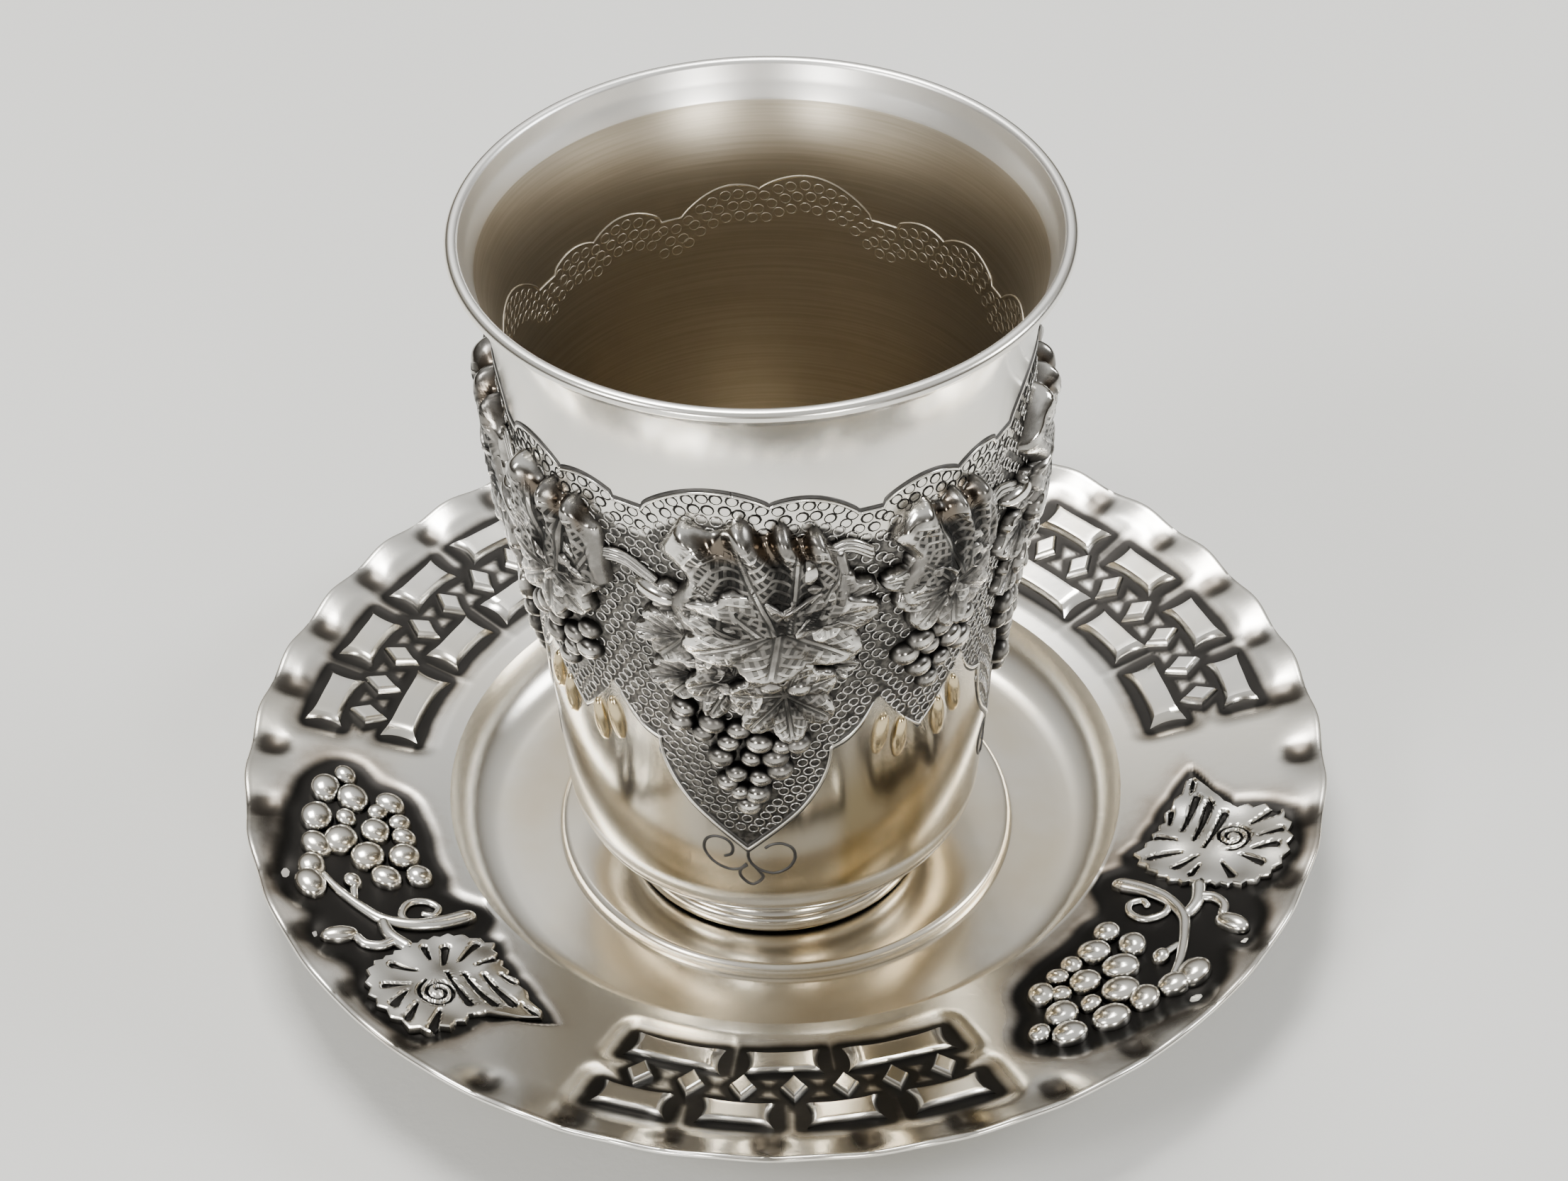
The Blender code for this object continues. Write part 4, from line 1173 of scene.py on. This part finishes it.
def make_saucer_sheet(material):
    """The saucer itself: seat, well, flange with sunk grounds, dents and scalloped edge."""
    form = Form(spun(saucer_profile(), SCALLOP_COLUMNS * SCALLOP_COUNT))
    x, y, height = form.points.T
    radius = form.rho
    azimuth = np.degrees(np.arctan2(y, x))
    edge = SAUCER_DIAMETER / 2
    reach = smooth(edge - SCALLOP_REACH, edge, radius)
    wave = -SCALLOP_DEPTH * np.cos(np.radians((azimuth - SCALLOP_TURN) * SCALLOP_COUNT)) * reach
    on_flange_top = (radius > WELL_RADIUS + 0.3) & (height > flange_height(radius) - 0.5 * SAUCER_SHEET)
    spray_turn = wrap(azimuth - SPRAY_START, SPRAY_PITCH)
    spray = spray_distance(spray_turn, radius)
    stroke = stroke_distance(wrap(azimuth - STROKES_START, SPRAY_PITCH), radius)
    sunk = np.maximum(smooth(2.6, 0.6, spray), smooth(3.2, 0.3, stroke))
    ground = np.maximum(smooth(3.4, 0.7, spray), smooth(2.6, 0.2, stroke))
    halo = np.maximum(smooth(8.0, 0.9, spray), 0.85 * smooth(4.6, 0.4, stroke))
    sideways = wrap(azimuth - SCALLOP_TURN, 360.0 / SCALLOP_COUNT) * math.pi / 180.0 * radius
    outward = radius - (edge - DENT_INSET)
    uneven = 0.5 + 0.5 * np.sin(np.radians(azimuth * 7.0)) * np.sin(np.radians(azimuth * 11.0 + 40.0))
    dent = np.exp(-(sideways / DENT_RADIUS) ** 2 - (outward / DENT_RADIUS) ** 2)
    smudge = 0.8 * np.exp(-((spray_turn + 15.0) / 9.0) ** 2 - ((radius - 62.0) / 3.0) ** 2)
    wide, tall = 2.0 + 0.5 * uneven, 2.2 + uneven
    stain = np.exp(-np.abs(sideways / wide) ** 3 - np.abs((outward - 0.1) / tall) ** 3)
    lift = -GROUND_SINK * sunk - DENT_DEPTH * dent * smooth(edge - 0.3, edge - 1.8, radius)
    scale = 1.0 + SCALLOP_SPREAD * (wave - SCALLOP_DEPTH * reach) / np.maximum(radius, 1.0)
    points = np.stack([x * scale, y * scale, height + np.where(on_flange_top, lift, 0.0) + wave], axis=-1)
    # well: mask of the painted gold reflection, full on the seat and inner floor, fading out to the top of
    # the cove
    well = smooth(WELL_RADIUS, FLOOR_RADIUS - 4.0, radius) * (height >= SAUCER_SHEET * 0.9)
    heap = Heap("ground", "halo", "dent", "well")
    heap.add(form, points, ground=ground * on_flange_top, halo=halo * on_flange_top,
             dent=np.maximum(stain, smudge) * on_flange_top, well=well)
    piece = heap.finish("saucer_sheet", material, sharp=50)
    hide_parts("saucer")


def repeats(start):
    """Turns of the repeated ornaments of the flange, from the first one's."""
    return [start + index * SPRAY_PITCH for index in range(SPRAY_COUNT)]


def make_strokes(material):
    """Rows of raised flat-topped strokes with flared ends and diamond spindles."""
    form = lens(8, 64)
    p, q = form.square()
    heap = Heap("slot")
    foot = -GROUND_SINK - 0.2
    steep = np.sqrt(smooth(1.0, 0.72, np.maximum(np.abs(p), np.abs(q))))
    slanted = np.sqrt(smooth(1.0, 0.6, form.rho))
    stroke_lift, spindle_lift = (np.where(form.on_top, foot + (STROKE_TOP - foot) * side, RELIEF_ROOT)
                                 for side in (steep, slanted))
    cosine, sine = np.cos(np.radians(form.angle)), np.sin(np.radians(form.angle))
    spindle_x = SPINDLE_HALF[0] * form.rho * cosine * np.abs(cosine)
    spindle_y = SPINDLE_HALF[1] * form.rho * sine * np.abs(sine)
    flared = STROKE_HALF_WIDTH * q * (0.84 + 0.34 * np.abs(p) ** 4)
    for index, turn in enumerate(repeats(STROKES_START)):
        for order, (mid, side, half_length) in enumerate(STROKES):
            x = p * (half_length - 0.7 * (1.0 - q ** 2) * np.abs(p) ** 3)
            y = flared + 0.25 * math.sin(order * 2.1 + index) * p
            heap.add(form, on_flange(turn, mid + x, ORNAMENT_RADIUS + side + y, stroke_lift))
        for mid in SPINDLES:
            heap.add(form, on_flange(turn, mid + spindle_x, ORNAMENT_RADIUS + spindle_y, spindle_lift))
    heap.finish("raised_strokes", material, sharp=30)


def slot_depth(x, y):
    """How far a point of the spray's leaf lies in one of its slots, from 0 to 1."""
    inside = np.full_like(x, -9.0)
    for x0, y0, x1, y1, half in SPRAY_SLOTS:
        length = math.hypot(x1 - x0, y1 - y0)
        share = np.clip(((x - x0) * (x1 - x0) + (y - y0) * (y1 - y0)) / length ** 2, 0.0, 1.0)
        far = np.hypot(x - x0 - share * (x1 - x0), y - y0 - share * (y1 - y0))
        inside = np.maximum(inside, half * (0.35 + 0.7 * share) - far)
    curl_x, curl_y, first, pitch, half = SPRAY_CURL
    around = np.arctan2(y - curl_y, x - curl_x) / math.tau + 0.5
    out = np.hypot(x - curl_x, y - curl_y)
    for coil in range(SPRAY_COILS):
        inside = np.maximum(inside, half - np.abs(out - first - pitch * (around + coil)))
    return smooth(-0.16, 0.16, inside)


def make_spray_leaves(material):
    """Pressed leaf of each spray, flat with dark slots between its veins and a curl."""
    form = lens(34, 224, 0.75)
    heap = Heap("slot")
    far = form.rho * spray_leaf_edge(form.angle) * teeth(form.angle, 1.0, 28, 0.07)
    x = far * np.cos(np.radians(form.angle))
    y = far * np.sin(np.radians(form.angle))
    slot = slot_depth(x, y)
    swelling = 0.32 + 0.12 * np.sin(x * 0.9) + 0.10 * np.cos(y * 1.1)
    lift = -GROUND_SINK + (GROUND_SINK + swelling) * np.sqrt(smooth(1.0, 0.965, form.rho)) - 0.6 * slot
    lift = np.where(form.on_top, lift, RELIEF_ROOT)
    for turn in repeats(SPRAY_START):
        place = on_flange(turn, SPRAY_LEAF_AT[0] * FLANGE_DEGREE + x, SPRAY_LEAF_AT[1] + y, lift)
        heap.add(form, place, slot=slot * form.on_top)
    heap.finish("spray_leaves", material, sharp=40)


def make_spray_grapes(material):
    """Round polished grapes of the sprays, and the drop-shaped buds."""
    form = lens(10, 26)
    heap = Heap("slot")
    domes = [(turn_at, radius_at, size, size * 0.88, 40.0 * math.sin(order * 2.3), 1.2 * size ** 0.5)
             for order, (turn_at, radius_at, size) in enumerate(SPRAY_GRAPES)]
    domes += [(*bud, 1.3) for bud in SPRAY_BUDS]
    for turn in repeats(SPRAY_START):
        for turn_at, radius_at, across, up, lean, tall in domes:
            x, y = form.ellipse((turn_at * FLANGE_DEGREE, radius_at), across, up, lean)
            lift = np.where(form.on_top, -GROUND_SINK + tall * form.ball() ** 0.8, RELIEF_ROOT)
            heap.add(form, on_flange(turn, x, y, lift))
    heap.finish("spray_grapes", material)


def spray_stems():
    """Stems of a spray: paths along the arc and radius, with their first and last half widths."""
    return [(smooth_path([(turn * FLANGE_DEGREE, radius) for turn, radius in route], 12), first, last)
            for route, first, last in SPRAY_STEMS]


def make_spray_stems(material):
    """Stems, tendrils and the comma-shaped bud of the sprays."""
    paths = []
    ends = []
    for turn in repeats(SPRAY_START):
        for path, first, last in spray_stems():
            half = np.linspace(first, last, len(path))
            paths.append(on_flange(turn, path[:, 0], path[:, 1], 0.3 * half - GROUND_SINK))
            ends.append((first, last))
    wires("spray_stems", paths, 1.0, material, ends)


# Camera fitted to the photograph, in millimetres and degrees, and the floor's half size in metres
CAMERA_TARGET = (0.34, 0.0, 36.8)
CAMERA_DISTANCE = 400.5
CAMERA_ELEVATION = 40.41
CAMERA_ROLL = 1.216
CAMERA_LENS = 79.15
FLOOR_HALF = 15.0
# Square soft lights, in metres and watts: name, place, size, power, colour
LIGHT_AIM = (0.0, 0.0, 0.04)
LIGHTS = (
    ("overhead", (-0.12, 0.30, 0.95), 0.40, 12.5, (1.0, 0.985, 0.95)),
    ("front left", (-0.75, -0.55, 0.75), 0.28, 6.0, (1.0, 0.99, 0.97)),
    ("right", (0.85, 0.05, 0.55), 0.30, 5.0, (0.97, 0.985, 1.0)),
    ("low front left", (-0.42, -0.95, 0.20), 0.16, 3.2, (1.0, 0.98, 0.94)),
    ("low front right", (0.40, -0.98, 0.26), 0.16, 3.2, (1.0, 0.98, 0.94)),
)
# Surroundings from below to overhead: place on the ramp and colour
WORLD_STOPS = (
    (0.05, (0.06, 0.045, 0.03, 1.0)), (0.72, (1.0, 1.0, 0.98, 1.0)), (0.24, (0.17, 0.15, 0.12, 1.0)),
    (0.44, (0.66, 0.65, 0.62, 1.0)),
)
WORLD_STRENGTH = 0.66


def make_camera():
    """Camera above the front edge of the saucer, turned slightly about its line of sight."""
    elevation = math.radians(CAMERA_ELEVATION)
    roll = math.radians(CAMERA_ROLL)
    forward = Vector((0.0, math.cos(elevation), -math.sin(elevation)))
    right = Vector((1.0, 0.0, 0.0))
    up = right.cross(forward)
    turned_right = math.cos(roll) * right - math.sin(roll) * up
    turned_up = math.sin(roll) * right + math.cos(roll) * up
    place = (Vector(CAMERA_TARGET) - CAMERA_DISTANCE * forward) * MM
    matrix = Matrix((turned_right, turned_up, -forward)).transposed().to_4x4()
    matrix.translation = place
    data = bpy.data.cameras.new("camera")
    data.lens = CAMERA_LENS
    data.clip_start = 0.01
    camera = in_scene("camera", data)
    camera.matrix_world = matrix
    bpy.context.scene.camera = camera


def make_floor():
    """Pale studio floor."""
    net = Net("pale floor")
    cloth = net.noise(700.0, 4.0)
    wide = net.noise(4.0, 2.0)
    color = net.mix(wide, FLOOR_SHADE, FLOOR_LIGHT)
    material = net.finish(color, 0.85, metallic=0.0, normal=net.bump(cloth, 0.05))
    mesh = bpy.data.meshes.new("floor")
    with editing(mesh) as bm:
        bmesh.ops.create_grid(bm, x_segments=1, y_segments=1, size=FLOOR_HALF)
    mesh.materials.append(material)
    floor = in_scene("floor", mesh)


def make_lights():
    """Soft light from above, and low lights in front for crisp glints."""
    for name, place, size, power, color in LIGHTS:
        data = bpy.data.lights.new(name, "AREA")
        data.size = size
        data.energy = power
        data.color = color
        light = in_scene(name, data)
        light.location = place
        light.rotation_euler = (Vector(LIGHT_AIM) - Vector(place)).to_track_quat("-Z", "Y").to_euler()


def make_world():
    """Pale surroundings overhead and a darker warm room round the sides, which polished metal shows."""
    world = bpy.data.worlds.new("studio")
    world.use_nodes = True
    tree = world.node_tree
    background = tree.nodes["Background"]
    place = tree.nodes.new("ShaderNodeTexCoord")
    split = tree.nodes.new("ShaderNodeSeparateXYZ")
    ramp = tree.nodes.new("ShaderNodeValToRGB")
    tree.links.new(place.outputs["Generated"], split.inputs["Vector"])
    tree.links.new(split.outputs["Z"], ramp.inputs["Fac"])
    tree.links.new(ramp.outputs["Color"], background.inputs["Color"])
    stops = ramp.color_ramp.elements
    for stop, (position, color) in zip(list(stops), WORLD_STOPS):
        stop.position, stop.color = position, color
    for position, color in WORLD_STOPS[2:]:
        stops.new(position).color = color
    background.inputs["Strength"].default_value = WORLD_STRENGTH
    bpy.context.scene.world = world


def main():
    """Make every piece, the stage, the lights and the camera."""
    make_camera()
    make_floor()
    make_world()
    make_lights()
    chased = ornament_silver()
    bright = ring_silver()
    black = engraved_black()
    satin = inside_satin()
    raised = raised_silver()
    make_cup_wall(wall_silver())
    make_cup_leaves(chased)
    make_cup_fans(chased)
    make_cup_grapes(chased)
    make_cup_drops(bright)
    make_ring_marks(bright, satin)
    make_borders(raised, black, satin)
    make_branches(bright)
    make_saucer_sheet(saucer_silver())
    make_strokes(raised)
    make_spray_leaves(raised)
    make_spray_grapes(raised)
    make_spray_stems(raised)


main()
